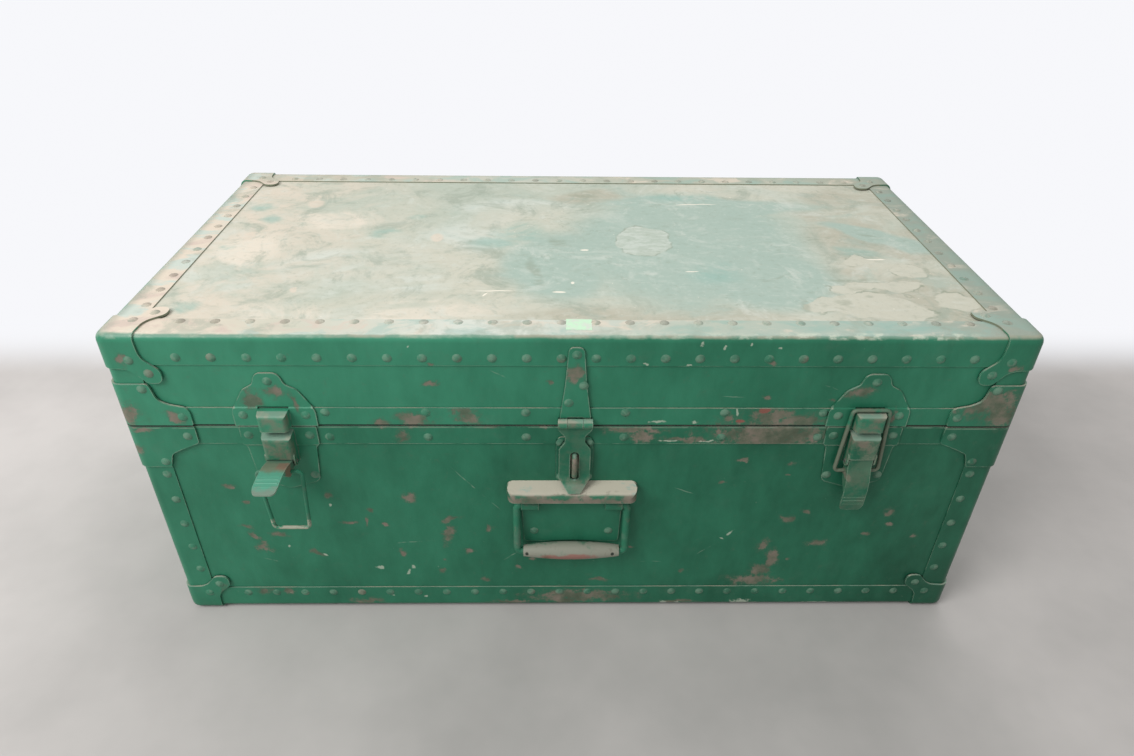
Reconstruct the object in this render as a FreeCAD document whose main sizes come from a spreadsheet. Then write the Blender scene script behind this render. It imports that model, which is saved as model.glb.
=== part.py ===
"""Steel-bound storage trunk with a hinged lid, two draw bolts, a hasp and three drop handles.

Plywood boards are nailed inside a skin of sheet-steel angles, rim strips, corner brackets and
corner caps. The frame's origin is on the floor, at the middle of the whole object's reach.
X runs to the right seen from the front, Y to the back and Z up. All sizes are millimetres.
"""
import FreeCAD, Part
import math
import os
import re
from FreeCAD import Placement, Rotation, Vector

# Driving sizes
SIZES = (
    ("case_width", 785.0, "width over the steel angles"),
    ("case_depth", 396.0, "depth over the steel angles"),
    ("base_top", 237.5, "height of the base's rim above the floor"),
    ("seam_gap", 1.0, "gap between base and lid"),
    ("lid_height", 90.5, "height of the lid over its steel"),
    ("edge_radius", 6.0, "outer bend of the steel along the top and bottom edges"),
    ("corner_radius", 8.0, "outer bend of the steel up the corners"),
    ("nest_gap", 0.3, "difference between bends that nest"),
    ("binding_sheet", 1.0, "steel of the angles and rims"),
    ("cap_sheet", 1.8, "steel of the corner caps and brackets"),
    ("wall_board", 8.0, "plywood of the walls"),
    ("flat_board", 6.0, "plywood of the bottom and the lid's top"),
    ("binding_leg", 28.5, "width of each leg of the edge and corner angles"),
    ("lid_rim_leg", 18.5, "height of the lid's rim strip"),
    ("base_rim_leg", 20.0, "height of the base's rim strip"),
    ("lip_board", 4.0, "thickness of the lip inside the base"),
    ("lip_depth", 24.0, "reach of the lip below the rim"),
    ("lip_rise", 8.0, "reach of the lip into the lid"),
    ("lip_clear", 0.6, "gap between the lip and the lid"),
    ("overrun", 2.0, "how far a cutting shape passes a face"),
    ("cap_lobe_reach", 46.0, "reach of a corner cap's lobe from each edge"),
    ("cap_mask_depth", 7.0, "depth of the outlines that cut a cap or bracket"),
    ("bracket_reach", 60.0, "reach of a rim bracket along the rim"),
    ("bracket_gap", 1.0, "height left between a lid rim bracket and a corner cap's lobe"),
    ("base_bracket_drop", 45.5, "reach of a base rim bracket down the corner"),
    ("nail_radius", 4.2, "radius of a nail's head"),
    ("nail_height", 1.5, "height of a nail's head"),
    ("nail_pitch", 29.1, "spacing of the nails along the angles"),
    ("nail_row", 21.0, "distance of a row of nails from its edge"),
    ("top_nail_row", 24.0, "distance of the top's front row from the front"),
    ("nail_shift", 3.5, "how far the front rows stand off centre"),
    ("rim_nail_pitch", 87.4, "spacing of the nails along the rims"),
    ("rim_nail_shift", 1.8, "how far the front rims' nails stand off centre"),
    ("lid_rim_nail", 13.5, "lid rim's nails above the lid's edge"),
    ("base_rim_nail", 12.5, "base rim's nails below the base's edge"),
    ("corner_nail_pitch", 31.0, "spacing of the nails up the corners"),
    ("corner_nail_foot", 56.0, "lowest nail of a corner above the steel's foot"),
    ("bolt_inset", 132.2, "distance of each draw bolt from the trunk's end"),
    ("plate_sheet", 1.5, "steel of the plates"),
    ("plate_gap", 0.3, "gap between a plate's step and the strip that it steps over"),
    ("catch_half", 36.0, "half width of a catch plate"),
    ("catch_clear", 7.5, "board seen between a catch plate and the lid's edge angle"),
    ("plate_half", 34.0, "half width of a draw bolt's base plate"),
    ("plate_drop", 70.5, "reach of a base plate below the seam"),
    ("bridge_half", 13.3, "half width of the catch's bridge"),
    ("bridge_out", 12.0, "reach of the catch's bridge in front"),
    ("bridge_ledge", 18.5, "height of the bridge's ledge above the seam"),
    ("bridge_slit", 2.1, "height of the slit above the bridge"),
    ("form_sheet", 1.3, "wall of the pressed bridge, housing and hood"),
    ("housing_half", 13.6, "half width of the base plate's housing"),
    ("housing_out", 12.6, "reach of the housing in front"),
    ("housing_drop", 29.0, "lower edge of the housing's front wall, below the seam"),
    ("housing_top", 3.0, "top of the housing below the seam"),
    ("housing_fall", 4.5, "how far the housing's top falls towards its front"),
    ("form_fall", 1.5, "how far the bridge's top falls towards its front"),
    ("form_inset", 1.0, "how much narrower a form is at its front, on each side"),
    ("form_bend", 3.5, "bend of the pressed forms"),
    ("pivot_out", 7.0, "lever pin in front of the steel"),
    ("pivot_drop", 34.0, "lever pin below the seam"),
    ("pin_radius", 1.6, "radius of the lever's pin"),
    ("pin_fit", 0.05, "radial gap of a pin in the piece that holds it"),
    ("run_fit", 0.08, "radial gap of a piece that turns on a pin or wire"),
    ("ear_radius", 4.5, "round of the ears about the pin"),
    ("ear_sheet", 1.5, "steel of the ears"),
    ("ear_gap", 0.8, "gap between the lever's ears and the base plate's"),
    ("pin_head", 0.9, "how far the lever's pin stands out of its ears"),
    ("lever_half", 10.8, "half width of a lever"),
    ("lever_length", 54.0, "length of a lever from its pin to its tip"),
    ("lever_sheet", 1.4, "steel of the lever"),
    ("lever_bow", 9.5, "crown of the lever's face in front of its pin"),
    ("bail_along", 13.0, "bail's hole along the lever"),
    ("bail_behind", 2.0, "bail's hole behind the lever's pin"),
    ("bail_length", 67.6, "bail's hole to the middle of its bar"),
    ("bail_wire", 1.75, "radius of the bail's wire"),
    ("bail_inner_half", 8.55, "half the gap between the bail's turned-in ends"),
    ("lever_rib", 1.2, "radius of the ribs across a lever"),
    ("bail_foot_half", 20.2, "half width of the bail at its holes"),
    ("bail_bar_half", 16.2, "half width of the bail at its bar"),
    ("bail_bend", 4.0, "bend of the bail's wire at its middle line"),
    ("hasp_shift", 1.6, "middle of the hasp right of the trunk's middle"),
    ("hasp_sheet", 1.7, "steel of the hasp"),
    ("strap_clear", 9.5, "top of the hasp's strap below the lid's top"),
    ("strap_foot_half", 14.2, "half width of the strap at its foot"),
    ("barrel_rise", 5.5, "hasp's pin above the seam"),
    ("barrel_out", 4.8, "hasp's pin in front of the steel"),
    ("barrel_radius", 4.4, "outside of the hasp's knuckles"),
    ("barrel_half", 15.3, "half length of the hasp's barrel"),
    ("knuckle_half", 6.7, "half length of the leaf's knuckle"),
    ("knuckle_gap", 0.3, "gap between knuckles side by side"),
    ("hasp_pin_radius", 1.9, "radius of the hasp's pin"),
    ("leaf_out", 3.4, "back of the hasp's leaf in front of the steel"),
    ("leaf_half", 14.3, "half width of the hasp's leaf"),
    ("leaf_drop", 68.5, "tip of the leaf below the seam"),
    ("leaf_kick", 8.5, "how far the leaf's tip stands forward"),
    ("slot_half", 4.15, "half width of the leaf's slot"),
    ("slot_top", 26.3, "top of the slot below the seam"),
    ("slot_foot", 58.5, "foot of the slot below the seam"),
    ("staple_wire", 2.4, "radius of the staple's wire"),
    ("staple_out", 8.0, "middle of the staple's bow in front of the steel"),
    ("staple_inset", 2.3, "gap between the staple and the slot's ends"),
    ("staple_plate_half", 17.0, "half width of the staple's plate"),
    ("staple_plate_top", 12.0, "top of the staple's plate below the seam"),
    ("staple_plate_foot", 62.5, "foot of the staple's plate below the seam"),
    ("staple_bend", 5.0, "bend of the staple's wire at its middle line"),
    ("handle_plate_half", 47.5, "half width of a handle's plate"),
    ("handle_plate_drop", 76.8, "foot of a handle's plate below its hood's top"),
    ("hood_drop", 64.2, "top of a handle's hood below the base's rim"),
    ("hood_height", 14.8, "height of the hood"),
    ("hood_out", 14.5, "reach of the hood in front of the steel"),
    ("hood_half", 61.7, "half length of the hood"),
    ("hood_fall", 6.0, "how far the hood's top falls towards its front"),
    ("hood_inset", 3.0, "how much shorter the hood is at its front, on each side"),
    ("hood_bend", 7.0, "bend of the hood's edges"),
    ("swing_under", 26.3, "handle's pivot below its hood's top"),
    ("swing_out", 3.1, "handle's pivot in front of the steel"),
    ("swing_wire", 3.6, "radius of a handle's wire"),
    ("swing_half", 52.3, "half width of a handle at its wire's middle"),
    ("swing_inner", 33.0, "where a handle's turned-in ends stop"),
    ("swing_drop", 55.3, "handle's pivot to the middle of its grip"),
    ("swing_tilt", 5.9, "lean of a hanging handle, in degrees"),
    ("swing_bend", 4.7, "bend of a handle's wire at its middle line"),
    ("hump_wall", 1.5, "steel over a handle's turned-in ends"),
    ("grip_half", 46.5, "half length of a grip"),
    ("grip_end_radius", 5.6, "radius of a grip at its ends"),
    ("grip_radius", 8.8, "radius of a grip at its middle"),
    ("hinge_inset", 157.5, "distance of each hinge from the trunk's end"),
    ("hinge_sheet", 1.6, "steel of the hinges"),
    ("hinge_half", 32.0, "half width of a hinge"),
    ("hinge_leaf", 32.0, "reach of a hinge's leaf above or below the seam"),
    ("hinge_out", 4.5, "hinge's pin behind the steel"),
    ("hinge_radius", 4.0, "outside of a hinge's knuckles"),
    ("hinge_knuckle_half", 11.0, "half length of a hinge's middle knuckle"),
    ("hinge_barrel_half", 24.0, "half length of a hinge's barrel"),
    ("hinge_pin_radius", 2.0, "radius of a hinge's pin"),
    ("stop_rise", 6.4, "a hinge's stops above or below its pin"),
    ("stop_width", 6.0, "width of a stop"),
    ("base_stop_reach", 9.2, "reach of the base leaf's stops"),
    ("lid_stop_reach", 14.0, "reach of the lid leaf's stops"),
)

# Places and sizes worked out from the driving sizes
PLACES = (
    ("front_reach", "pivot_out + lever_length", "how far the open lever stands out"),
    ("back_reach", "lid_stop_reach", "how far the hinges stand out"),
    ("mid_y", "(front_reach - back_reach) / 2", "middle of the case"),
    ("right_x", "case_width / 2", "outside of the right end"),
    ("front_y", "mid_y - case_depth / 2", "front of the steel"),
    ("back_y", "mid_y + case_depth / 2", "back of the steel"),
    ("case_foot", "cap_sheet", "underside of the steel angles"),
    ("seam", "base_top + seam_gap / 2", "middle of the seam"),
    ("lid_foot", "base_top + seam_gap", "lower edge of the lid"),
    ("lid_top", "lid_foot + lid_height", "top of the lid's steel"),
    ("case_height", "lid_top - case_foot", "height over the steel angles"),
    ("board_width", "case_width - 2 * binding_sheet", "width over the boards"),
    ("board_depth", "case_depth - 2 * binding_sheet", "depth over the boards"),
    ("inner_width", "board_width - 2 * wall_board", "clear width inside"),
    ("inner_depth", "board_depth - 2 * wall_board", "clear depth inside"),
    ("floor_top", "case_foot + binding_sheet + flat_board", "top of the bottom board"),
    ("ceiling", "lid_top - binding_sheet - flat_board", "underside of the lid's top board"),
    ("bolt_x", "right_x - bolt_inset", "distance of each draw bolt from the middle"),
    ("hinge_x", "right_x - hinge_inset", "distance of each hinge from the middle"),
    ("cut_span", "2 * base_top", "length of the prisms that outlines are cut from"),
    ("lid_bracket_rise", "lid_height - cap_lobe_reach - bracket_gap",
     "reach of a lid rim bracket up the corner"),
    ("catch_rise", "lid_height + seam_gap / 2 - binding_leg - catch_clear",
     "reach of a catch plate above the seam"),
    ("strap_rise", "lid_height + seam_gap / 2 - strap_clear",
     "top of the hasp's strap above the seam"),
    ("hood_top", "base_top - hood_drop", "top of a handle's hood above the floor"),
    ("hood_foot", "hood_top - hood_height", "lower edge of the hood above the floor"),
    ("handle_plate_foot", "hood_top - handle_plate_drop", "foot of a handle's plate"),
    ("swing_rise", "hood_top - swing_under", "handle's pivot above the floor"),
    ("bail_out", "pivot_out - bail_behind", "bail's holes when the lever is closed"),
    ("bail_drop", "pivot_drop + bail_along", "bail's holes below the seam, lever closed"),
)

SIZE_NAMES = {name for name, _, _ in SIZES}
PLACE_NAMES = {name for name, _, _ in PLACES}

doc = FreeCAD.newDocument("storage_trunk")
sheet = doc.addObject("Spreadsheet::Sheet", "Sizes")
for row, (name, number, meaning) in enumerate(SIZES, start=1):
    sheet.set(f"A{row}", name)
    sheet.set(f"B{row}", str(number))
    sheet.set(f"C{row}", meaning)
    sheet.setAlias(f"B{row}", name)
doc.recompute()


def bound(text):
    """An expression in plain names, with each name led to the sheet or to the worked-out places."""
    def owner(match):
        word = match.group(0)
        if word in SIZE_NAMES:
            return f"Sizes.{word}"
        return f"Places.{word}" if word in PLACE_NAMES else word
    return re.sub(r"[a-z][a-z_]*", owner, text)


places = doc.addObject("App::FeaturePython", "Places")
for name, text, meaning in PLACES:
    places.addProperty("App::PropertyFloat", name, "Places", meaning)
    places.setExpression(name, bound(text))
    doc.recompute()


class Value:
    """Reads a named size or place as a plain number."""

    def __getattr__(self, name):
        return float(sheet.get(name)) if name in SIZE_NAMES else float(getattr(places, name))


v = Value()
UPRIGHT = Rotation()
HALF_TURN = Rotation(Vector(0, 0, 1), 180)
QUARTER_TURN = 90
finished = []


def keep(piece, label):
    """Names a finished sub-part, which is written under this label."""
    piece.Label = label
    finished.append(piece)
    return piece


def move(piece, at, turn=UPRIGHT):
    """Turns a piece and ties its place to the named sizes."""
    piece.Placement = Placement(Vector(), turn)
    for axis, text in zip("xyz", at):
        piece.setExpression(f"Placement.Base.{axis}", bound(text))
    return piece


def box(name, size, at):
    """A block whose sizes and lowest corner are expressions."""
    piece = doc.addObject("Part::Box", name)
    for side, text in zip(("Length", "Width", "Height"), size):
        piece.setExpression(side, bound(text))
    return move(piece, at)


def join(kind, name, base, tool):
    piece = doc.addObject(f"Part::{kind}", name)
    piece.Base = base
    piece.Tool = tool
    return piece


def fuse(name, pieces):
    piece = doc.addObject("Part::MultiFuse", name)
    piece.Shapes = pieces
    return piece


def group(label, pieces):
    """Separate solids of one kind that share a node."""
    piece = doc.addObject("Part::Compound", label)
    piece.Links = pieces
    return keep(piece, label)


def body(name, at=("0", "0", "0"), turn=UPRIGHT):
    return move(doc.addObject("PartDesign::Body", name), at, turn)


def corner_arc(before, corner, after, radius):
    """Start, middle and end of the arc that rounds a corner, held within its two sides."""
    to_before = before - corner
    to_after = after - corner
    half = to_before.getAngle(to_after) / 2
    room = 0.49 * min(to_before.Length, to_after.Length)
    reach = min(radius / math.tan(half), room)
    radius = reach * math.tan(half)
    start = corner + to_before.normalize() * reach
    end = corner + to_after.normalize() * reach
    inward = (start + end) / 2 - corner
    middle = corner + inward.normalize() * (radius / math.sin(half) - radius)
    return start, middle, end


def outline(points):
    """Edges of a closed outline. Each point is (x, y) or (x, y, radius of its rounded corner)."""
    corners = [Vector(p[0], p[1], 0) for p in points]
    radii = [p[2] if len(p) > 2 else 0 for p in points]
    count = len(points)
    cuts = []
    for i, (corner, radius) in enumerate(zip(corners, radii)):
        if radius:
            cuts.append(corner_arc(corners[i - 1], corner, corners[(i + 1) % count], radius))
        else:
            cuts.append((corner, None, corner))
    edges = []
    for i, (start, middle, end) in enumerate(cuts):
        if middle is not None:
            edges.append(Part.Arc(start, middle, end))
        edges.append(Part.LineSegment(end, cuts[(i + 1) % count][0]))
    return edges


def both_sides(points):
    """A symmetric outline from its right half, listed from the foot to the top."""
    return points + [(-p[0], *p[1:]) for p in reversed(points)]


def sketch(piece, name, plane, edges, shift="0"):
    """A sketch on one of the body's own planes, moved along its normal by an expression."""
    drawing = piece.newObject("Sketcher::SketchObject", f"{piece.Name}_{name}_sketch")
    face = next(p for p in piece.Origin.OriginFeatures if p.Role == plane)
    drawing.AttachmentSupport = (face, "")
    drawing.MapMode = "FlatFace"
    drawing.setExpression("AttachmentOffset.Base.z", bound(shift))
    for edge in edges:
        drawing.addGeometry(edge)
    return drawing


def pad(piece, name, plane, edges, length, shift="0", both=False):
    """Adds a prism: from the sketch along the plane's normal, or both ways from its middle."""
    feature = piece.newObject("PartDesign::Pad", f"{piece.Name}_{name}")
    feature.Profile = sketch(piece, name, plane, edges, shift)
    feature.setExpression("Length", bound(length))
    feature.Midplane = both
    doc.recompute()
    return feature


def pocket(piece, name, plane, edges, length, shift="0"):
    """Cuts a prism both ways from the sketch's plane, and makes sure that it cut."""
    before = piece.Shape.Volume
    feature = piece.newObject("PartDesign::Pocket", f"{piece.Name}_{name}")
    feature.Profile = sketch(piece, name, plane, edges, shift)
    feature.setExpression("Length", bound(length))
    feature.Midplane = True
    doc.recompute()
    if piece.Shape.Volume > before - 1e-3:
        raise RuntimeError(f"{piece.Name}: {name} cuts nothing")
    return feature


def circle(x, y, radius):
    return [Part.Circle(Vector(x, y, 0), Vector(0, 0, 1), radius)]


# The trunk's rounded envelopes, one inside the other


def rounded(piece, block, name, radius, upright):
    """Rounds the upright edges of a block, or all of its other edges."""
    edges = [f"Edge{i}" for i, edge in enumerate(block.Shape.Edges, start=1)
             if (edge.BoundBox.ZLength > v.corner_radius) == upright]
    rounding = piece.newObject("PartDesign::Fillet", name)
    rounding.Base = (block, edges)
    rounding.setExpression("Radius", bound(radius))
    doc.recompute()
    return rounding


def envelope(name, grow, bend):
    """The whole trunk's block, grown on every side, with its edges and corners rounded."""
    piece = body(name, (f"-right_x - {grow}", f"front_y - {grow}", f"case_foot - {grow}"))
    block = piece.newObject("PartDesign::AdditiveBox", f"{name}_block")
    block.setExpression("Length", bound(f"case_width + 2 * {grow}"))
    block.setExpression("Width", bound(f"case_depth + 2 * {grow}"))
    block.setExpression("Height", bound(f"case_height + 2 * {grow}"))
    doc.recompute()
    corners = rounded(piece, block, f"{name}_corners", f"corner_radius + {bend}", True)
    rounded(piece, corners, f"{name}_edges", f"edge_radius + {bend}", False)
    return piece


cap_outside = envelope("cap_outside", "cap_sheet", "cap_sheet")
cap_inside = envelope("cap_inside", "0", "(-nest_gap)")
steel_outside = envelope("steel_outside", "0", "0")
steel_inside = envelope("steel_inside", "(-binding_sheet)", "(-binding_sheet)")
boards_outside = envelope("boards_outside", "(-binding_sheet)", "(nest_gap - binding_sheet)")
cap_shell = join("Cut", "cap_shell", cap_outside, cap_inside)
steel_shell = join("Cut", "steel_shell", steel_outside, steel_inside)


# Boards


def board(label, size, at):
    """A plywood board: a block cut to the rounded envelope of the boards."""
    return keep(join("Common", label, boards_outside, box(f"{label}_block", size, at)), label)


def wall_boards(part, foot, height):
    """Front and back boards run the full width, and the end boards stand between them."""
    edge_x = "-board_width / 2"
    edge_y = "mid_y - board_depth / 2"
    inner_y = "mid_y - inner_depth / 2"
    board(f"{part}_front_board", ("board_width", "wall_board", height), (edge_x, edge_y, foot))
    board(f"{part}_back_board", ("board_width", "wall_board", height),
          (edge_x, "mid_y + inner_depth / 2", foot))
    board(f"{part}_left_board", ("wall_board", "inner_depth", height), (edge_x, inner_y, foot))
    board(f"{part}_right_board", ("wall_board", "inner_depth", height),
          ("inner_width / 2", inner_y, foot))


board("bottom_board", ("board_width", "board_depth", "flat_board"),
      ("-board_width / 2", "mid_y - board_depth / 2", "case_foot + binding_sheet"))
wall_boards("base", "floor_top", "base_top - binding_sheet - floor_top")
board("lid_board", ("board_width", "board_depth", "flat_board"),
      ("-board_width / 2", "mid_y - board_depth / 2", "ceiling"))
wall_boards("lid", "lid_foot + binding_sheet", "ceiling - lid_foot - binding_sheet")


# Lip inside the base that guides the lid


def lip_strip(side, size_x, size_y, at_x, at_y, back_x, back_y, trim_x, trim_y):
    """A strip against the wall, whose upper part is set back to clear the lid."""
    lower = box(f"lip_{side}_lower", (size_x, size_y, "lip_depth"),
                (at_x, at_y, "base_top - lip_depth"))
    upper = box(f"lip_{side}_upper",
                (f"{size_x} - {trim_x}", f"{size_y} - {trim_y}", "seam_gap + lip_rise"),
                (f"{at_x} + {back_x}", f"{at_y} + {back_y}", "base_top"))
    return join("Fuse", f"lip_{side}", lower, upper)


LIP_LEFT = "-inner_width / 2"
LIP_FRONT = "mid_y - inner_depth / 2"
LIP_LENGTH = "inner_depth - 2 * lip_board"
group("base_lip", [
    lip_strip("front", "inner_width", "lip_board", LIP_LEFT, LIP_FRONT,
              "lip_clear", "lip_clear", "2 * lip_clear", "lip_clear"),
    lip_strip("back", "inner_width", "lip_board", LIP_LEFT, "mid_y + inner_depth / 2 - lip_board",
              "lip_clear", "0", "2 * lip_clear", "lip_clear"),
    lip_strip("left", "lip_board", LIP_LENGTH, LIP_LEFT, f"{LIP_FRONT} + lip_board",
              "lip_clear", "0", "lip_clear", "0"),
    lip_strip("right", "lip_board", LIP_LENGTH, "inner_width / 2 - lip_board",
              f"{LIP_FRONT} + lip_board", "0", "0", "lip_clear", "0"),
])


# Steel rims, angles and their corners


def steel(name, size, at, shell=None):
    """The part of the steel skin that lies in a block."""
    return join("Common", name, shell or steel_shell, box(f"{name}_block", size, at))


SPAN_X = "case_width + 2 * overrun"
LEFT_OUT = "-right_x - overrun"
FRONT_OUT = "front_y - overrun"
LEG_OUT = "binding_leg + overrun"
BETWEEN_X = "case_width - 2 * binding_leg"
BETWEEN_Y = "case_depth - 2 * binding_leg"
END_X = {"left": LEFT_OUT, "right": "right_x - binding_leg"}
SIDE_Y = {"front": FRONT_OUT, "back": "back_y - binding_leg"}
cavity = box("cavity", ("inner_width", "inner_depth", "case_height"),
             ("-inner_width / 2", "mid_y - inner_depth / 2", "case_foot"))


def rim_piece(name, size_x, size_y, at_x, at_y, foot, leg, flange_foot):
    """One stretch of a rim strip: its leg on the wall's face and its flange over the wall's edge."""
    face = steel(f"{name}_leg", (size_x, size_y, leg), (at_x, at_y, foot))
    cover = steel(f"{name}_cover", (size_x, size_y, "binding_sheet"),
                  (at_x, at_y, flange_foot), steel_outside)
    flange = join("Cut", f"{name}_flange", cover, cavity)
    return fuse(name, [face, flange])


def rim(part, foot, leg, flange_foot):
    """The front and back rims turn round the corners, and the end rims lie between them."""
    for side in ("front", "back"):
        label = f"{part}_rim_{side}"
        keep(rim_piece(label, SPAN_X, LEG_OUT, LEFT_OUT, SIDE_Y[side], foot, leg, flange_foot),
             label)
    group(f"{part}_rim_ends", [
        rim_piece(f"{part}_rim_{end}", LEG_OUT, BETWEEN_Y, END_X[end], "front_y + binding_leg",
                  foot, leg, flange_foot)
        for end in ("left", "right")])


rim("base", "base_top - base_rim_leg", "base_rim_leg", "base_top - binding_sheet")
rim("lid", "lid_foot", "lid_rim_leg", "lid_foot")


def edge_angles(label, foot):
    """The angles along the four bottom or top edges, which stop at the corners."""
    for side in ("front", "back"):
        name = f"{label}_{side}"
        keep(steel(name, (BETWEEN_X, LEG_OUT, LEG_OUT),
                   ("-right_x + binding_leg", SIDE_Y[side], foot)), name)
    group(f"{label}_ends", [
        steel(f"{label}_{end}", (LEG_OUT, BETWEEN_Y, LEG_OUT),
              (END_X[end], "front_y + binding_leg", foot))
        for end in ("left", "right")])


edge_angles("bottom_edge", "case_foot - overrun")
edge_angles("lid_edge", "lid_top - binding_leg")


def corner_angles(label, foot, height):
    group(label, [
        steel(f"{label}_{side}_{end}", (LEG_OUT, LEG_OUT, height), (END_X[end], SIDE_Y[side], foot))
        for side in ("front", "back") for end in ("left", "right")])


corner_angles("base_corner_angles", "case_foot + binding_leg",
              "base_top - base_rim_leg - case_foot - binding_leg")
corner_angles("lid_corner_angles", "lid_foot + lid_rim_leg",
              "lid_height - lid_rim_leg - binding_leg")

# Corner outlines, as shares of the piece's reach: place along one edge, place along the other, bend
CAP_SHARES = ((0, 0, 0), (0.674, 0, 0), (0.70, 0.46, 0.35), (1, 0.72, 0.16), (1, 1, 0.24),
              (0.72, 1, 0.16), (0.46, 0.70, 0.35), (0, 0.674, 0))
LID_BRACKET_SHARES = ((0, 0, 0), (1, 0, 0.04), (1, 0.43, 0.12), (0.74, 0.51, 0.2),
                      (0.58, 0.62, 0.2), (0.53, 1, 0.07), (0, 1, 0))
BASE_BRACKET_SHARES = ((0, 0, 0), (1, 0, 0.03), (1, 0.40, 0.06), (0.72, 0.56, 0.15),
                       (0.55, 0.68, 0.12), (0.48, 1, 0.02), (0, 1, 0))


def corner_mask(name, at, turn, faces):
    """Prisms of an outline on the faces that meet at a corner, each from outside the steel inwards."""
    piece = body(name, at, turn)
    for plane, points in faces.items():
        pad(piece, f"on_{plane[:2].lower()}", plane, outline(points), "2 * cap_mask_depth",
            both=True)
    return piece


def shares_to(points, reach_x, reach_y):
    """An outline from shares of two reaches. Bends are shares of the first reach."""
    return [(x * reach_x, y * reach_y, bend * reach_x) for x, y, bend in points]


cap_points = shares_to(CAP_SHARES, v.cap_lobe_reach, v.cap_lobe_reach)
CAP_FACES = {"XY_Plane": cap_points, "XZ_Plane": cap_points, "YZ_Plane": cap_points}
CORNERS = (("front", "left", 0), ("front", "right", 1), ("back", "right", 2), ("back", "left", 3))
EDGE_Y = {"front": "front_y", "back": "back_y"}
EDGE_X = {"left": "-right_x", "right": "right_x"}


def corner_caps(label, height, overturned):
    """A pressed cap on each corner. Every cap has the same lobed outline on its three faces."""
    caps = []
    for side, end, quarters in CORNERS:
        turn = Rotation(Vector(0, 0, 1), quarters * QUARTER_TURN)
        if overturned:
            turn = turn.multiply(Rotation(Vector(1, 1, 0), 180))
        name = f"{label}_{side}_{end}"
        mask = corner_mask(f"{name}_outline", (EDGE_X[end], EDGE_Y[side], height), turn, CAP_FACES)
        caps.append(join("Common", name, cap_shell, mask))
    group(label, caps)


corner_caps("base_corner_caps", "case_foot", False)
corner_caps("lid_corner_caps", "lid_top", True)


def rim_brackets(label, shares, height_size, rim_edge, overturned):
    """Brackets round the rim's corners, with the same outline on the wall and on the end."""
    brackets = []
    for side, end, quarters in CORNERS:
        up = -1 if overturned else 1
        points = shares_to(shares, v.bracket_reach, up * height_size)
        faces = {"XZ_Plane": points, "YZ_Plane": points}
        name = f"{label}_{side}_{end}"
        turn = Rotation(Vector(0, 0, 1), quarters * QUARTER_TURN)
        mask = corner_mask(f"{name}_outline", (EDGE_X[end], EDGE_Y[side], rim_edge), turn, faces)
        brackets.append(join("Common", name, cap_shell, mask))
    group(label, brackets)


rim_brackets("lid_rim_brackets", LID_BRACKET_SHARES, v.lid_bracket_rise, "lid_foot", False)
rim_brackets("base_rim_brackets", BASE_BRACKET_SHARES, v.base_bracket_drop, "base_top", True)


# Fixings: domed heads of nails and rivets
heads = {name: [] for name in ("base_nails", "lid_nails", "base_rivets", "lid_rivets")}
FACING = {
    "front": Rotation(Vector(1, 0, 0), QUARTER_TURN),
    "back": Rotation(Vector(1, 0, 0), -QUARTER_TURN),
    "left": Rotation(Vector(0, 1, 0), -QUARTER_TURN),
    "right": Rotation(Vector(0, 1, 0), QUARTER_TURN),
    "top": UPRIGHT,
}


def head():
    """A domed head that stands on its flat side."""
    radius = (v.nail_radius ** 2 + v.nail_height ** 2) / (2 * v.nail_height)
    low = math.degrees(math.asin((radius - v.nail_height) / radius))
    centre = Vector(0, 0, v.nail_height - radius)
    return Part.makeSphere(radius, centre, Vector(0, 0, 1), low, QUARTER_TURN, 4 * QUARTER_TURN)


def add_head(kind, face, along, high, proud=0):
    """Places a head. On the top, high is the depth from the front."""
    spots = {
        "front": Vector(along, v.front_y - proud, high),
        "back": Vector(along, v.back_y + proud, high),
        "left": Vector(-v.right_x - proud, along, high),
        "right": Vector(v.right_x + proud, along, high),
        "top": Vector(along, high, v.lid_top + proud),
    }
    heads[kind].append(Placement(spots[face], FACING[face]))


def row(middle, pitch, reach, stagger=0.5):
    """Places at one pitch within a reach each way from the middle."""
    count = int(reach / pitch)
    steps = [n + stagger for n in range(-count - 1, count + 1)]
    return [middle + n * pitch for n in steps if abs(n * pitch) < reach]


ROW_REACH = v.right_x - v.cap_lobe_reach - v.nail_radius
END_REACH = v.case_depth / 2 - v.cap_lobe_reach - v.nail_radius
RIM_FRONT_REACH = v.bolt_x - v.catch_half - v.nail_radius
RIM_BACK_REACH = v.hinge_x - v.hinge_half - v.nail_radius
RIM_END_REACH = v.case_depth / 2 - v.bracket_reach - v.nail_radius
CORNER_FOOT = v.case_foot + v.corner_nail_foot
CORNER_TOP = v.base_top - v.base_bracket_drop - v.nail_radius
EDGES = (("lid_nails", v.lid_top - v.nail_row), ("base_nails", v.case_foot + v.nail_row))
for kind, high in EDGES:
    for along in row(v.nail_shift, v.nail_pitch, ROW_REACH):
        add_head(kind, "front", along, high)
        add_head(kind, "back", along, high)
    for along in row(v.mid_y, v.nail_pitch, END_REACH, 0):
        add_head(kind, "left", along, high)
        add_head(kind, "right", along, high)
for along in row(v.nail_shift, v.nail_pitch, ROW_REACH):
    add_head("lid_nails", "top", along, v.front_y + v.top_nail_row)
    add_head("lid_nails", "top", along, v.back_y - v.nail_row)
for along in row(v.mid_y, v.nail_pitch, END_REACH, 0):
    for side in (-1, 1):
        add_head("lid_nails", "top", side * (v.right_x - v.nail_row), along)
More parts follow.
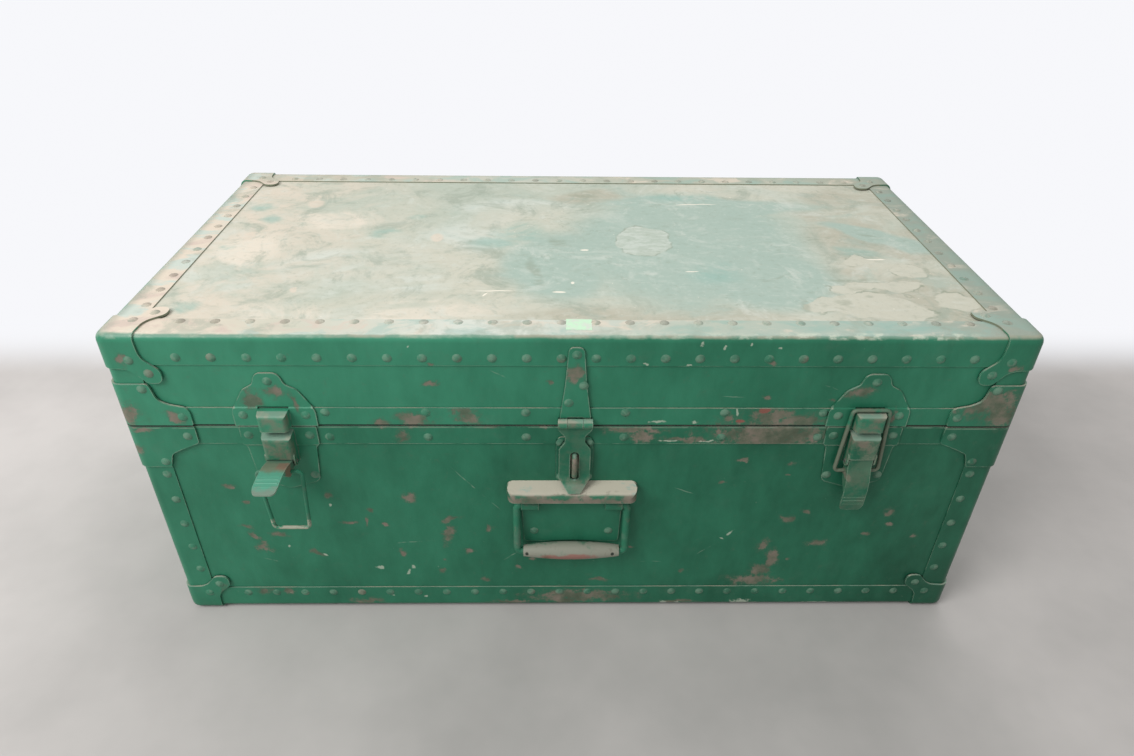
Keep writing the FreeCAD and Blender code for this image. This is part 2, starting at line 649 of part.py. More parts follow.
for kind, high in (("lid_nails", v.lid_foot + v.lid_rim_nail),
                   ("base_nails", v.base_top - v.base_rim_nail)):
    for along in row(v.rim_nail_shift, v.rim_nail_pitch, RIM_FRONT_REACH):
        add_head(kind, "front", along, high)
    for along in row(0, v.rim_nail_pitch, RIM_BACK_REACH, 0):
        add_head(kind, "back", along, high)
    for along in row(v.mid_y, v.rim_nail_pitch, RIM_END_REACH, 0):
        for face in ("left", "right"):
            add_head(kind, face, along, high)

# Nails of the corner pieces, as shares of the same reaches as their outlines
CAP_NAIL_SHARES = ((0.5, 0.5), (0.78, 0.78))
LID_BRACKET_NAIL_SHARES = ((0.428, 0.885), (0.878, 0.218))
BASE_BRACKET_NAIL_SHARES = ((0.412, -0.868), (0.862, -0.231))


def corner_heads(kind, face, across, high, proud=0):
    """The same head near both ends of a face, at one distance from its corners."""
    half = v.case_depth / 2 if face in ("left", "right") else v.right_x
    middle = v.mid_y if face in ("left", "right") else 0
    for side in (-1, 1):
        add_head(kind, face, middle + side * (half - across), high, proud)


for face in ("front", "back", "left", "right"):
    for n in range(1 + int((CORNER_TOP - CORNER_FOOT) / v.corner_nail_pitch)):
        corner_heads("base_nails", face, v.nail_row, CORNER_FOOT + n * v.corner_nail_pitch)
    for x, z in CAP_NAIL_SHARES:
        across = x * v.cap_lobe_reach
        rise = z * v.cap_lobe_reach
        corner_heads("lid_nails", face, across, v.lid_top - rise, v.cap_sheet)
        corner_heads("base_nails", face, across, v.case_foot + rise, v.cap_sheet)
    for x, z in LID_BRACKET_NAIL_SHARES:
        high = v.lid_foot + z * v.lid_bracket_rise
        corner_heads("lid_nails", face, x * v.bracket_reach, high, v.cap_sheet)
    for x, z in BASE_BRACKET_NAIL_SHARES:
        high = v.base_top + z * v.base_bracket_drop
        corner_heads("base_nails", face, x * v.bracket_reach, high, v.cap_sheet)
for x, y in CAP_NAIL_SHARES:
    for depth in (v.front_y + y * v.cap_lobe_reach, v.back_y - y * v.cap_lobe_reach):
        corner_heads("lid_nails", "top", x * v.cap_lobe_reach, depth, v.cap_sheet)


# Ways to form sheet and wire. In their own frames, -Y is outwards and Z is up.


def pressed(name, plan, section, half, at, turn=UPRIGHT, plane="XZ_Plane"):
    """A prism of the side view, as wide as it needs to be, cut to an outline seen square on."""
    seen = body(f"{name}_outline", at, turn)
    pad(seen, "outline", plane, outline(plan), "cut_span", both=True)
    side = body(f"{name}_section", at, turn)
    turned = [(-p[0], *p[1:]) for p in section]
    pad(side, "section", "YZ_Plane", outline(turned), f"2 * {half}", both=True)
    return join("Common", name, seen, side)


def hollow_form(name, at, turn, half, out, foot, top, fall, inset, bend, wall, back,
                round_ends=False):
    """A hollow pressing, open below, that narrows and falls towards its front.

    Where its ends are round, its top also bends down to them, seen from the front.
    """
    shells = []
    for tag, less, low, start in (("outside", 0, foot, back), ("inside", wall, foot - wall, back)):
        front = out - less
        plan = both_sides([(half - less, -start), (half - inset - less, -front, bend - less / 2)])
        section = [(start, low), (front, low), (front, top - fall - less, bend - less / 2),
                   (start, top - less)]
        shell = pressed(f"{name}_{tag}", plan, section, "cut_span / 2", at, turn, "XY_Plane")
        if round_ends:
            view = body(f"{name}_{tag}_view", at, turn)
            front_view = both_sides([(half - less, low), (half - less, top - less, bend - less / 2)])
            pad(view, "view", "XZ_Plane", outline(front_view), "cut_span", both=True)
            shell = join("Common", f"{name}_{tag}_shell", shell, view)
        shells.append(shell)
    return join("Cut", name, *shells)


def cylinder(name, radius, half, at, turn=UPRIGHT):
    """A round bar along X, the same way to both sides of its place."""
    bar = body(name, at, turn)
    feature = bar.newObject("PartDesign::Pad", f"{name}_bar")
    feature.Profile = sketch(bar, "round", "YZ_Plane", circle(0, 0, radius))
    feature.setExpression("Length", bound(f"2 * {half}"))
    feature.Midplane = True
    doc.recompute()
    return bar


def wire_form(name, points, radius, bend, at, turn=UPRIGHT):
    """Round wire bent along a path."""
    path = [Vector(*p) for p in points]
    edges = []
    here = path[0]
    for before, corner, after in zip(path, path[1:], path[2:]):
        start, middle, end = corner_arc(before, corner, after, bend)
        edges += [Part.LineSegment(here, start).toShape(), Part.Arc(start, middle, end).toShape()]
        here = end
    edges.append(Part.LineSegment(here, path[-1]).toShape())
    ring = Part.Wire(Part.makeCircle(radius, path[0], path[1] - path[0]))
    piece = doc.addObject("Part::Feature", name)
    piece.Shape = Part.Wire(edges).makePipeShell([ring], True, True)
    return move(piece, at, turn)


def joggled(foot, rim_edge, top):
    """Side view of a plate that lies on a strip and steps back onto the board beyond it."""
    up = math.copysign(1, top - foot)
    step = v.binding_sheet
    near = rim_edge + up * v.plate_gap
    return [(0, foot), (v.plate_sheet, foot), (v.plate_sheet, near),
            (v.plate_sheet - step, near + up * step), (v.plate_sheet - step, top), (-step, top),
            (-step, near), (0, near)]


LID_EDGE = v.seam_gap / 2
LID_RIM_EDGE = LID_EDGE + v.lid_rim_leg
BASE_RIM_EDGE = -v.seam_gap / 2 - v.base_rim_leg
BOARD_FACE = -v.binding_sheet
PLATE_FACE = v.plate_sheet
SUNK_FACE = v.plate_sheet - v.binding_sheet

# Outlines as shares of the piece's half width and reach: across, along, bend
CATCH_SHARES = ((1, 0, 0), (1, 0.3, 0.35), (0.66, 0.68, 0.35), (0.38, 0.79, 0.2),
                (0.28, 1, 0.22))
PLATE_SHARES = ((0.06, 1.02, 0.2), (0.42, 0.96, 0.3), (0.81, 0.9, 0.2), (0.9, 0.34, 0.05),
                (1, 0.27, 0.05), (1, 0, 0.05))
CATCH_RIVET_SHARES = ((0, 0.85), (-0.75, 0.22), (0.75, 0.22))
PLATE_RIVET_SHARES = ((-0.79, 0.14), (0.79, 0.14), (-0.7, 0.8), (0.7, 0.8))


def scaled(shares, half, reach, foot=0):
    """An outline from shares of a half width and of a reach from a foot."""
    return [(x * half, foot + y * reach, *(bend * half for bend in rest)) for x, y, *rest in shares]


def with_holes(label, solid, bars):
    """Cuts bars out of a piece."""
    tool = fuse(f"{label}_bars", bars) if len(bars) > 1 else bars[0]
    return join("Cut", label, solid, tool)


def front_heads(kind, shares, middle, half, reach, foot, rim_edge):
    """Heads on a joggled plate: proud on the strip, and less so where the plate is sunk."""
    for x, y in shares:
        high = foot + y * reach
        on_strip = (high - rim_edge) * reach < 0
        add_head(kind, "front", middle + x * half, v.seam + high,
                 PLATE_FACE if on_strip else SUNK_FACE)


# Draw bolts. The lever's face lies outwards, and its length runs down when it is closed.
LEVER_FACE_SHARES = ((-0.065, 0.42, 0), (0.09, 0.42, 0.3), (0.37, 0.9, 0.4), (0.62, 1, 0.4),
                     (0.87, 0.9, 0.2), (1, 0.72, 0))
LEVER_PLAN_SHARES = ((1, -0.065, 0), (1, 0.86, 0.3), (0.86, 1, 0.3))
LEVER_EAR_SHARES = ((-0.065, 0.36, 0), (-0.09, -0.46, 0.07), (0.14, -0.5, 0.05),
                    (0.31, -0.56, 0.05), (0.4, -0.1, 0.1), (0.6, 0.93, 0), (0.37, 0.83, 0.4),
                    (0.09, 0.36, 0.3))
LEVER_RIB_SHARES = ((0.68, 0.94), (0.76, 0.915), (0.84, 0.865))


def lever(name, at, turn):
    length, bow, sheet_wall = v.lever_length, v.lever_bow, v.lever_sheet
    top = [(y * bow, -x * length, bend * length) for x, y, bend in LEVER_FACE_SHARES]
    under = [(o - sheet_wall, z, bend) for o, z, bend in reversed(top)]
    plan = both_sides([(x * v.lever_half, -y * length, bend * length)
                       for x, y, bend in LEVER_PLAN_SHARES])
    face = pressed(f"{name}_face", plan, top + under, "cut_span / 2", at, turn)
    ears = body(f"{name}_ears", at, turn)
    ear = outline([(-y * bow, -x * length, bend * length) for x, y, bend in LEVER_EAR_SHARES])
    pad(ears, "cheeks", "YZ_Plane", ear, "2 * lever_half", both=True)
    gap = outline([(-2 * bow, -length), (-2 * bow, length), (2 * bow, length), (2 * bow, -length)])
    pocket(ears, "between", "YZ_Plane", gap, "2 * (lever_half - ear_sheet)")
    ribs = []
    for n, (x, y) in enumerate(LEVER_RIB_SHARES):
        rib = body(f"{name}_rib_{n}", at, turn)
        pad(rib, "rib", "YZ_Plane", circle(-y * bow + v.lever_rib / 2, -x * length, v.lever_rib),
            "2 * (lever_half - ear_sheet)", both=True)
        ribs.append(rib)
    holes = body(f"{name}_holes", at, turn)
    pad(holes, "pin_hole", "YZ_Plane", circle(0, 0, v.pin_radius + v.run_fit), "4 * lever_half",
        both=True)
    pad(holes, "bail_holes", "YZ_Plane",
        circle(v.bail_behind, -v.bail_along, v.bail_wire + v.run_fit), "4 * lever_half", both=True)
    return with_holes(name, fuse(f"{name}_blank", [face, ears, *ribs]), [holes])


def bail(name, at, turn):
    foot, bar, stop = v.bail_foot_half, v.bail_bar_half, v.bail_inner_half
    points = [(-stop, 0, 0), (-foot, 0, 0), (-bar, 0, v.bail_length), (bar, 0, v.bail_length),
              (foot, 0, 0), (stop, 0, 0)]
    return wire_form(name, points, v.bail_wire, v.bail_bend, at, turn)


def catch(name, side, x):
    at = (x, "front_y", "seam")
    plan = both_sides(scaled(CATCH_SHARES, v.catch_half, v.catch_rise - LID_EDGE, LID_EDGE))
    plate = pressed(f"{name}_sheet", plan, joggled(LID_EDGE, LID_RIM_EDGE, 2 * v.catch_rise),
                    "catch_half", at)
    slit = box(f"{name}_slit", ("2 * bridge_half", "3 * plate_sheet", "bridge_slit"),
               (f"{x} - bridge_half", "front_y - 2 * plate_sheet", "seam + bridge_ledge"))
    bridge = hollow_form(f"{name}_bridge", at, UPRIGHT, v.bridge_half, v.bridge_out,
                         LID_EDGE + v.plate_gap, v.bridge_ledge, v.form_fall, v.form_inset,
                         v.form_bend, v.form_sheet, v.plate_sheet / 2)
    front_heads("lid_rivets", CATCH_RIVET_SHARES, side * v.bolt_x, v.catch_half,
                v.catch_rise, 0, LID_RIM_EDGE)
    return fuse(name, [join("Cut", f"{name}_slotted", plate, slit), bridge])


def bolt_plate(name, side, x):
    at = (x, "front_y", "seam")
    foot = -v.seam_gap / 2
    plan = both_sides(scaled(PLATE_SHARES, v.plate_half, -v.plate_drop - foot, foot))
    plate = pressed(f"{name}_sheet", plan, joggled(foot, BASE_RIM_EDGE, -2 * v.plate_drop),
                    "plate_half", at)
    housing = hollow_form(f"{name}_housing", at, UPRIGHT, v.housing_half, v.housing_out,
                          -v.housing_drop, -v.housing_top, v.housing_fall, v.form_inset,
                          v.form_bend, v.form_sheet, v.plate_sheet / 2)
    ears = body(f"{name}_ears", at)
    out, drop, round_off = v.pivot_out, v.pivot_drop, v.ear_radius
    ear = outline([(0, -drop - round_off), (-out - round_off, -drop - round_off, round_off),
                   (-out - round_off, -v.housing_drop + round_off, round_off / 2),
                   (0, -v.housing_drop + round_off)])
    pad(ears, "cheeks", "YZ_Plane", ear, "2 * (lever_half + ear_gap + ear_sheet)", both=True)
    gap = outline([(2 * out, -2 * drop), (2 * out, drop), (-3 * out, drop), (-3 * out, -2 * drop)])
    pocket(ears, "between", "YZ_Plane", gap, "2 * (lever_half + ear_gap)")
    hole = cylinder(f"{name}_hole", v.pin_radius + v.pin_fit, "cut_span / 4",
                    (x, "front_y - pivot_out", "seam - pivot_drop"))
    front_heads("base_rivets", PLATE_RIVET_SHARES, side * v.bolt_x, v.plate_half,
                -v.plate_drop, 0, BASE_RIM_EDGE)
    return with_holes(name, fuse(f"{name}_blank", [plate, housing, ears]), [hole])


OPEN_TURN = Rotation(Vector(1, 0, 0), -QUARTER_TURN)
UPSIDE_DOWN = Rotation(Vector(1, 0, 0), 2 * QUARTER_TURN)
PIVOT = ("front_y - pivot_out", "seam - pivot_drop")
bolt_pins = []
for tag, side, x in (("left", -1, "-bolt_x"), ("right", 1, "bolt_x")):
    keep(catch(f"bolt_{tag}_catch", side, x), f"bolt_{tag}_catch")
    keep(bolt_plate(f"bolt_{tag}_plate", side, x), f"bolt_{tag}_plate")
    bolt_pins.append(cylinder(f"bolt_{tag}_pin", v.pin_radius,
                              "(lever_half + ear_gap + ear_sheet + pin_head)", (x, *PIVOT)))
group("bolt_pins", bolt_pins)
# The left bolt is open, with its bail hanging from the raised lever, and the right one is closed
keep(lever("bolt_left_lever", ("-bolt_x", *PIVOT), OPEN_TURN), "bolt_left_lever")
keep(lever("bolt_right_lever", ("bolt_x", *PIVOT), UPRIGHT), "bolt_right_lever")
keep(bail("bolt_left_bail", ("-bolt_x", "front_y - pivot_out - bail_along",
                             "seam - pivot_drop - bail_behind"), UPSIDE_DOWN), "bolt_left_bail")
keep(bail("bolt_right_bail", ("bolt_x", "front_y - bail_out", "seam - bail_drop"), UPRIGHT),
     "bolt_right_bail")


# Hasp
HASP_AT = ("hasp_shift", "front_y", "seam")
HASP_PIVOT = ("hasp_shift", "front_y - barrel_out", "seam + barrel_rise")
STRAP_SHARES = ((1, 0, 0), (0.66, 0.5, 0), (0.46, 1, 0.35))
LEAF_SHARES = ((0.34, 1.01, 0.1), (0.5, 0.97, 0.1), (1, 0.83, 0.15), (1, 0.34, 0.2),
               (0.63, 0.22, 0.2), (0.63, 0.13, 0.15), (1.05, 0.02, 0.2), (1.05, -0.01, 0))
# Side view of the leaf's kicked tip: share of the kick, share of the drop, bend
LEAF_FRONT_SHARES = ((0, 0.84, 0.25), (1, 1, 0))
LEAF_BACK_SHARES = ((1, 1.02, 0), (0, 0.86, 0.25))
STRAP_RIVET_SHARES = ((0.02, 0.915), (0.46, 0.535), (-0.42, 0.315))
STAPLE_PLATE_SHARES = ((1, 1, 0.2), (1, 0.3, 0.2), (0.9, 0, 0.25))
STAPLE_RIVET_SHARES = ((-0.75, 0.12), (0.75, 0.12), (-0.72, 0.92), (0.72, 0.92))


def knuckle_cut(name, inner, outer, wide):
    """A prism about the hasp's pin that clears or makes a knuckle between two places."""
    piece = body(name, HASP_PIVOT)
    pad(piece, "barrel", "YZ_Plane", circle(0, 0, wide), f"2 * {outer}", both=True)
    if inner:
        room = 2 * wide
        gap = outline([(-room, -room), (-room, room), (room, room), (room, -room)])
        pocket(piece, "middle", "YZ_Plane", gap, f"2 * {inner}")
    return piece


hasp_bore = cylinder("hasp_bore", v.hasp_pin_radius + v.run_fit, "cut_span / 4", HASP_PIVOT)
strap_plan = both_sides(scaled(STRAP_SHARES, v.strap_foot_half, v.strap_rise - v.barrel_rise,
                               v.barrel_rise))
strap_sheet = pressed("strap_sheet", strap_plan,
                      [(0, 0), (v.hasp_sheet, 0), (v.hasp_sheet, 2 * v.strap_rise),
                       (0, 2 * v.strap_rise)], "strap_foot_half", HASP_AT)
strap_notch = box("strap_notch",
                  ("2 * (knuckle_half + knuckle_gap)", "4 * hasp_sheet",
                   "2 * (barrel_radius + knuckle_gap)"),
                  ("hasp_shift - knuckle_half - knuckle_gap", "front_y - 2 * hasp_sheet",
                   "seam + barrel_rise - barrel_radius - knuckle_gap"))
strap_knuckles = knuckle_cut("strap_knuckles", "(knuckle_half + knuckle_gap)", "barrel_half",
                             v.barrel_radius)
strap = fuse("strap_blank", [join("Cut", "strap_notched", strap_sheet, strap_notch),
                             strap_knuckles])
keep(with_holes("hasp_strap", strap, [hasp_bore]), "hasp_strap")
for x, y in STRAP_RIVET_SHARES:
    add_head("lid_rivets", "front", v.hasp_shift + x * v.strap_foot_half,
             v.seam + y * v.strap_rise, v.hasp_sheet)

leaf_drop, leaf_sheet = v.leaf_drop, v.hasp_sheet
leaf_out = v.leaf_out
leaf_plan = both_sides(scaled(LEAF_SHARES, v.leaf_half, -leaf_drop))
leaf_section = [(leaf_out, v.barrel_rise), (leaf_out + leaf_sheet, v.barrel_rise)]
for shares, face in ((LEAF_FRONT_SHARES, leaf_out + leaf_sheet), (LEAF_BACK_SHARES, leaf_out)):
    leaf_section += [(face + kick * v.leaf_kick, -drop * leaf_drop, bend * leaf_drop)
                     for kick, drop, bend in shares]
leaf_sheet_piece = pressed("leaf_sheet", leaf_plan, leaf_section, "2 * leaf_half", HASP_AT)
leaf_tongue = pressed("leaf_tongue",
                      both_sides([(v.knuckle_half, -v.barrel_rise),
                                  (v.knuckle_half, v.barrel_rise)]),
                      [(leaf_out, -v.barrel_rise), (leaf_out + leaf_sheet, -v.barrel_rise),
                       (leaf_out + leaf_sheet, v.barrel_rise), (leaf_out, v.barrel_rise)],
                      "knuckle_half", HASP_AT)
leaf_knuckle = knuckle_cut("leaf_knuckle", None, "knuckle_half", v.barrel_radius)
leaf_slot = pressed("leaf_slot",
                    both_sides([(v.slot_half, -v.slot_foot, v.slot_half),
                                (v.slot_half, -v.slot_top, v.slot_half)]),
                    [(0, -leaf_drop), (3 * leaf_out, -leaf_drop), (3 * leaf_out, 0), (0, 0)],
                    "leaf_half", HASP_AT)
leaf = fuse("leaf_blank", [leaf_sheet_piece, leaf_tongue, leaf_knuckle])
keep(with_holes("hasp_leaf", leaf, [hasp_bore, leaf_slot]), "hasp_leaf")
keep(cylinder("hasp_pin", v.hasp_pin_radius, "barrel_half", HASP_PIVOT), "hasp_pin")

staple_foot = -v.staple_plate_top
staple_plan = both_sides(scaled(STAPLE_PLATE_SHARES, v.staple_plate_half,
                                v.staple_plate_top - v.staple_plate_foot, staple_foot))
staple_plate = pressed("staple_plate", staple_plan,
                       joggled(staple_foot, BASE_RIM_EDGE, -2 * v.staple_plate_foot),
                       "staple_plate_half", HASP_AT)
staple_high = -(v.slot_top + v.staple_inset + v.staple_wire)
staple_low = -(v.slot_foot - v.staple_inset - v.staple_wire)
staple_bow = wire_form("staple_bow",
                       [(0, 0, staple_high), (0, -v.staple_out, staple_high),
                        (0, -v.staple_out, staple_low), (0, 0, staple_low)],
                       v.staple_wire, v.staple_bend, HASP_AT)
keep(fuse("hasp_staple", [staple_plate, staple_bow]), "hasp_staple")
front_heads("base_rivets", STAPLE_RIVET_SHARES, v.hasp_shift, v.staple_plate_half,
            v.staple_plate_top - v.staple_plate_foot, staple_foot, BASE_RIM_EDGE)


# Drop handles: one on the front and one on each end
HANDLE_PLATE_SHARES = ((0.97, 0, 0.08), (1, 0.6, 0), (1, 1, 0))
HANDLE_RIVET_SHARES = ((-0.76, 0.18), (0.76, 0.18), (0.02, 0.7))
HANDLES = (
    ("handle_front", ("0", "front_y", "0"), UPRIGHT, "front"),
    ("handle_left", ("-right_x", "mid_y", "0"), Rotation(Vector(0, 0, 1), -QUARTER_TURN), "left"),
    ("handle_right", ("right_x", "mid_y", "0"), Rotation(Vector(0, 0, 1), QUARTER_TURN), "right"),
)


def handle(name, at, turn, face):
    swing_out, swing_rise = v.swing_out, v.swing_rise
    foot, reach = v.handle_plate_foot, v.hood_top - v.handle_plate_foot - v.form_sheet / 2
    plan = both_sides(scaled(HANDLE_PLATE_SHARES, v.handle_plate_half, reach, foot))
    plate = pressed(f"{name}_sheet", plan,
                    [(BOARD_FACE, 0), (SUNK_FACE, 0), (SUNK_FACE, v.hood_top),
                     (BOARD_FACE, v.hood_top)], "handle_plate_half", at, turn)
    hood = hollow_form(f"{name}_hood", at, turn, v.hood_half, v.hood_out, v.hood_foot, v.hood_top,
                       v.hood_fall, v.hood_inset, v.hood_bend, v.form_sheet, BOARD_FACE, True)
    humps = body(f"{name}_humps", at, turn)
    hump = v.swing_wire + v.run_fit + v.hump_wall
    profile = outline([(-BOARD_FACE, swing_rise - hump),
                       (-swing_out - hump, swing_rise - hump, hump),
                       (-swing_out - hump, swing_rise + hump, hump),
                       (-BOARD_FACE, swing_rise + hump)])
    pad(humps, "humps", "YZ_Plane", profile, "2 * handle_plate_half", both=True)
    wide = 4 * hump
    square = outline([(wide, 0), (wide, 2 * swing_rise), (-wide, 2 * swing_rise), (-wide, 0)])
    pocket(humps, "between", "YZ_Plane", square, "2 * (swing_inner - hump_wall)")
    bores = body(f"{name}_bores", at, turn)
    pad(bores, "bores", "YZ_Plane", circle(-swing_out, swing_rise, v.swing_wire + v.run_fit),
        "2 * hood_half", both=True)
    pocket(bores, "middle", "YZ_Plane", square, "2 * (swing_inner - plate_gap)")
    blank = fuse(f"{name}_blank", [plate, hood, humps])
    keep(with_holes(f"{name}_plate", blank, [bores]), f"{name}_plate")

    lean = math.radians(v.swing_tilt)
    low = swing_rise - v.swing_drop * math.cos(lean)
    out = swing_out + v.swing_drop * math.sin(lean)
    half, inner = v.swing_half, v.swing_inner
    points = [(-inner, -swing_out, swing_rise), (-half, -swing_out, swing_rise),
              (-half, -out, low), (half, -out, low), (half, -swing_out, swing_rise),
              (inner, -swing_out, swing_rise)]
    keep(wire_form(f"{name}_bail", points, v.swing_wire, v.swing_bend, at, turn), f"{name}_bail")

    grip = body(f"{name}_grip", at, turn)
    thin, thick, reach = v.grip_end_radius, v.grip_radius, v.grip_half
    bore = v.swing_wire + v.pin_fit
    belly = Part.Arc(Vector(-reach, low + thin, 0), Vector(0, low + thick, 0),
                     Vector(reach, low + thin, 0))
    ends = [Vector(reach, low + thin, 0), Vector(reach, low + bore, 0),
            Vector(-reach, low + bore, 0), Vector(-reach, low + thin, 0)]
    sides = [Part.LineSegment(a, b) for a, b in zip(ends, ends[1:])]
    turning = grip.newObject("PartDesign::Revolution", f"{name}_grip_turning")
    turning.Profile = sketch(grip, "profile", "XZ_Plane", [belly, *sides], str(out))
    axis = grip.newObject("PartDesign::Line", f"{name}_grip_axis")
    axis.MapMode = "Deactivated"
    axis.Placement = Placement(Vector(0, -out, low), FACING["right"])
    turning.ReferenceAxis = (axis, [""])
    turning.Angle = 4 * QUARTER_TURN
    doc.recompute()
    keep(grip, f"{name}_grip")
    middle = 0 if face == "front" else v.mid_y
    for x, y in HANDLE_RIVET_SHARES:
        add_head("base_rivets", face, middle + x * v.handle_plate_half,
                 foot + y * (v.hood_top - foot), SUNK_FACE)


for settings in HANDLES:
    handle(*settings)


# Back hinges with stops that hold the lid a little past upright
def hinge(tag, x):
    """The two leaves and the pin of one hinge, in a frame that faces the back."""
    at = (x, "back_y", "seam")
    pivot = (x, "back_y + hinge_out", "seam")
    half, leaf, sheet_wall = v.hinge_half, v.hinge_leaf, v.hinge_sheet
    middle, barrel, ring = v.hinge_knuckle_half, v.hinge_barrel_half, v.hinge_radius
    gap = v.knuckle_gap
    edge = v.seam_gap / 2
    room = ring + gap
    section = [(0, -leaf), (sheet_wall, -leaf), (sheet_wall, leaf), (0, leaf)]
    lid_plan = both_sides([(middle, 0), (middle, room), (barrel + gap, room), (barrel + gap, edge),
                           (half, edge), (half, leaf, sheet_wall)])
    base_plan = both_sides([(middle + gap, -room), (middle + gap, 0), (barrel, 0), (barrel, -edge),
                            (half, -edge), (half, -leaf, sheet_wall)])
    bore = cylinder(f"hinge_{tag}_bore", v.hinge_pin_radius + v.run_fit, "cut_span / 4", pivot)
    leaves = {}
    for part, plan, up in (("lid", lid_plan, 1), ("base", base_plan, -1)):
        name = f"hinge_{tag}_{part}"
        flat = pressed(f"{name}_flat", plan, section, "hinge_half", at, HALF_TURN)
        knuckles = body(f"{name}_knuckles", pivot, HALF_TURN)
        span = "hinge_knuckle_half" if part == "lid" else "hinge_barrel_half"
        pad(knuckles, "knuckles", "YZ_Plane", circle(0, 0, ring), f"2 * {span}", both=True)
        if part == "base":
            wide = 2 * ring
            square = outline([(-wide, -wide), (-wide, wide), (wide, wide), (wide, -wide)])
            pocket(knuckles, "middle", "YZ_Plane", square,
                   "2 * (hinge_knuckle_half + knuckle_gap)")
        stops = []
        low = "stop_rise" if part == "lid" else "(-stop_rise - hinge_sheet)"
        for side, start in (("a", "-hinge_half"), ("b", "hinge_half - stop_width")):
            stops.append(box(f"{name}_stop_{side}",
                             ("stop_width", f"{part}_stop_reach", "hinge_sheet"),
                             (f"{x} + {start}", "back_y", f"seam + {low}")))
        blank = fuse(f"{name}_blank", [flat, knuckles, *stops])
        leaves[part] = with_holes(name, blank, [bore])
    return leaves, cylinder(f"hinge_{tag}_pin", v.hinge_pin_radius, "hinge_barrel_half", pivot)


hinges = [hinge("left", "-hinge_x"), hinge("right", "hinge_x")]
group("hinge_lid_leaves", [leaves["lid"] for leaves, _ in hinges])
group("hinge_base_leaves", [leaves["base"] for leaves, _ in hinges])
group("hinge_pins", [pin for _, pin in hinges])
HINGE_RIVET_SHARES = ((-0.7, 0.75), (0, 0.75), (0.7, 0.75))
for side in (-1, 1):
    for x, z in HINGE_RIVET_SHARES:
        for up, kind in ((1, "lid_rivets"), (-1, "base_rivets")):
            add_head(kind, "back", side * v.hinge_x + x * v.hinge_half,
                     v.seam + up * z * v.hinge_leaf, v.hinge_sheet)

# The heads themselves, one node for each kind
shape_of_head = head()
for kind, spots in heads.items():
    solids = []
    for spot in spots:
        solid = shape_of_head.copy()
        solid.Placement = spot
        solids.append(solid)
    piece = doc.addObject("Part::Feature", kind)
    piece.Shape = Part.makeCompound(solids)
    keep(piece, kind)

# Sound shapes only, then one file for each node
doc.recompute()
for item in doc.Objects:
    if {"Invalid", "Error"} & set(item.State):
        raise RuntimeError(f"{item.Name} failed")
os.makedirs("parts", exist_ok=True)
for piece in finished:
    if piece.Shape.isNull() or not piece.Shape.isValid():
        raise RuntimeError(f"{piece.Label} is not sound")
    piece.Shape.exportStep(f"parts/{piece.Label}.step")
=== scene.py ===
"""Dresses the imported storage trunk: worn green enamel on steel and board, in soft studio light.

Lengths are metres in the model's frame. Materials read object coordinates, which are the frame at
rest, so that wear stays in place when the lid, the levers or the handles move.
"""
import math

import bpy
from mathutils import Matrix, Vector


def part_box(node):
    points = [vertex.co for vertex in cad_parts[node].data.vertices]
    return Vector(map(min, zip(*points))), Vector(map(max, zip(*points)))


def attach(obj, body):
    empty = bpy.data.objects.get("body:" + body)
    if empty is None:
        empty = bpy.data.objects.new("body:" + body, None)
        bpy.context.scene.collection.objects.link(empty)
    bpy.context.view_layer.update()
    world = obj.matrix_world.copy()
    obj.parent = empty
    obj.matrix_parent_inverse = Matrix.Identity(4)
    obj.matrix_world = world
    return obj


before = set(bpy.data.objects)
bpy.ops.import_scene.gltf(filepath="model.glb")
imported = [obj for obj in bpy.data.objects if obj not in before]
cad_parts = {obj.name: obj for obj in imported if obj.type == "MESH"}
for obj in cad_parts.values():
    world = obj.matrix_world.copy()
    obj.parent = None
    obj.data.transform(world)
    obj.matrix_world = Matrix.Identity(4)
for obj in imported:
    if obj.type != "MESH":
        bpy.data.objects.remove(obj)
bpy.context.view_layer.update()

# Places on the trunk, in metres
MM = 0.001
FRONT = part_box("base_rim_front")[0].y
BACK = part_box("base_rim_back")[1].y
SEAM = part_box("base_rim_front")[1].z
LID_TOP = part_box("lid_edge_front")[1].z
HALF_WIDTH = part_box("base_rim_front")[1].x
MID_Y = (FRONT + BACK) / 2
RIM_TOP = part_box("lid_rim_front")[1].z
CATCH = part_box("bolt_right_catch")
BOLT_X = (CATCH[0].x + CATCH[1].x) / 2
CATCH_HALF = (CATCH[1].x - CATCH[0].x) / 2
HOOD_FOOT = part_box("handle_front_plate")[1].z - 16 * MM
BAIL_FOOT = 143 * MM
LEVER_REACH = 62 * MM

# Colours, in linear light
GREEN_LIGHT = (0.046, 0.262, 0.155, 1)
GREEN = (0.024, 0.168, 0.094, 1)
GREEN_DEEP = (0.008, 0.080, 0.042, 1)
GREEN_GREY = (0.085, 0.175, 0.120, 1)
# Pale green for rubbed edges and faint scratches, and for painted highlights on edges and heads
PALE_EDGE = (0.26, 0.36, 0.27, 1)
GREEN_BROWN = (0.080, 0.130, 0.085, 1)
BROWN = (0.175, 0.158, 0.118, 1)
BROWN_DARK = (0.110, 0.095, 0.068, 1)
TAN_DARK = (0.235, 0.215, 0.155, 1)
TEAL_PALE = (0.33, 0.44, 0.375, 1)
HOOD_TAN = (0.50, 0.465, 0.375, 1)
RUBBED = (0.165, 0.200, 0.140, 1)
ROSE = (0.245, 0.195, 0.160, 1)
RUST_RED = (0.30, 0.085, 0.070, 1)
# Near black, for painted shade in gaps, corners and holes, and for grime in corners
SHADE_AND_GRIME_DARK = (0.008, 0.018, 0.012, 1)
FLAKE = (0.62, 0.66, 0.54, 1)
LEDGE_GREEN = (0.215, 0.345, 0.265, 1)
LEDGE_TAN = (0.41, 0.39, 0.305, 1)
SAGE = (0.47, 0.515, 0.43, 1)
CREAM = (0.575, 0.565, 0.465, 1)
CLOUD = (0.64, 0.67, 0.60, 1)
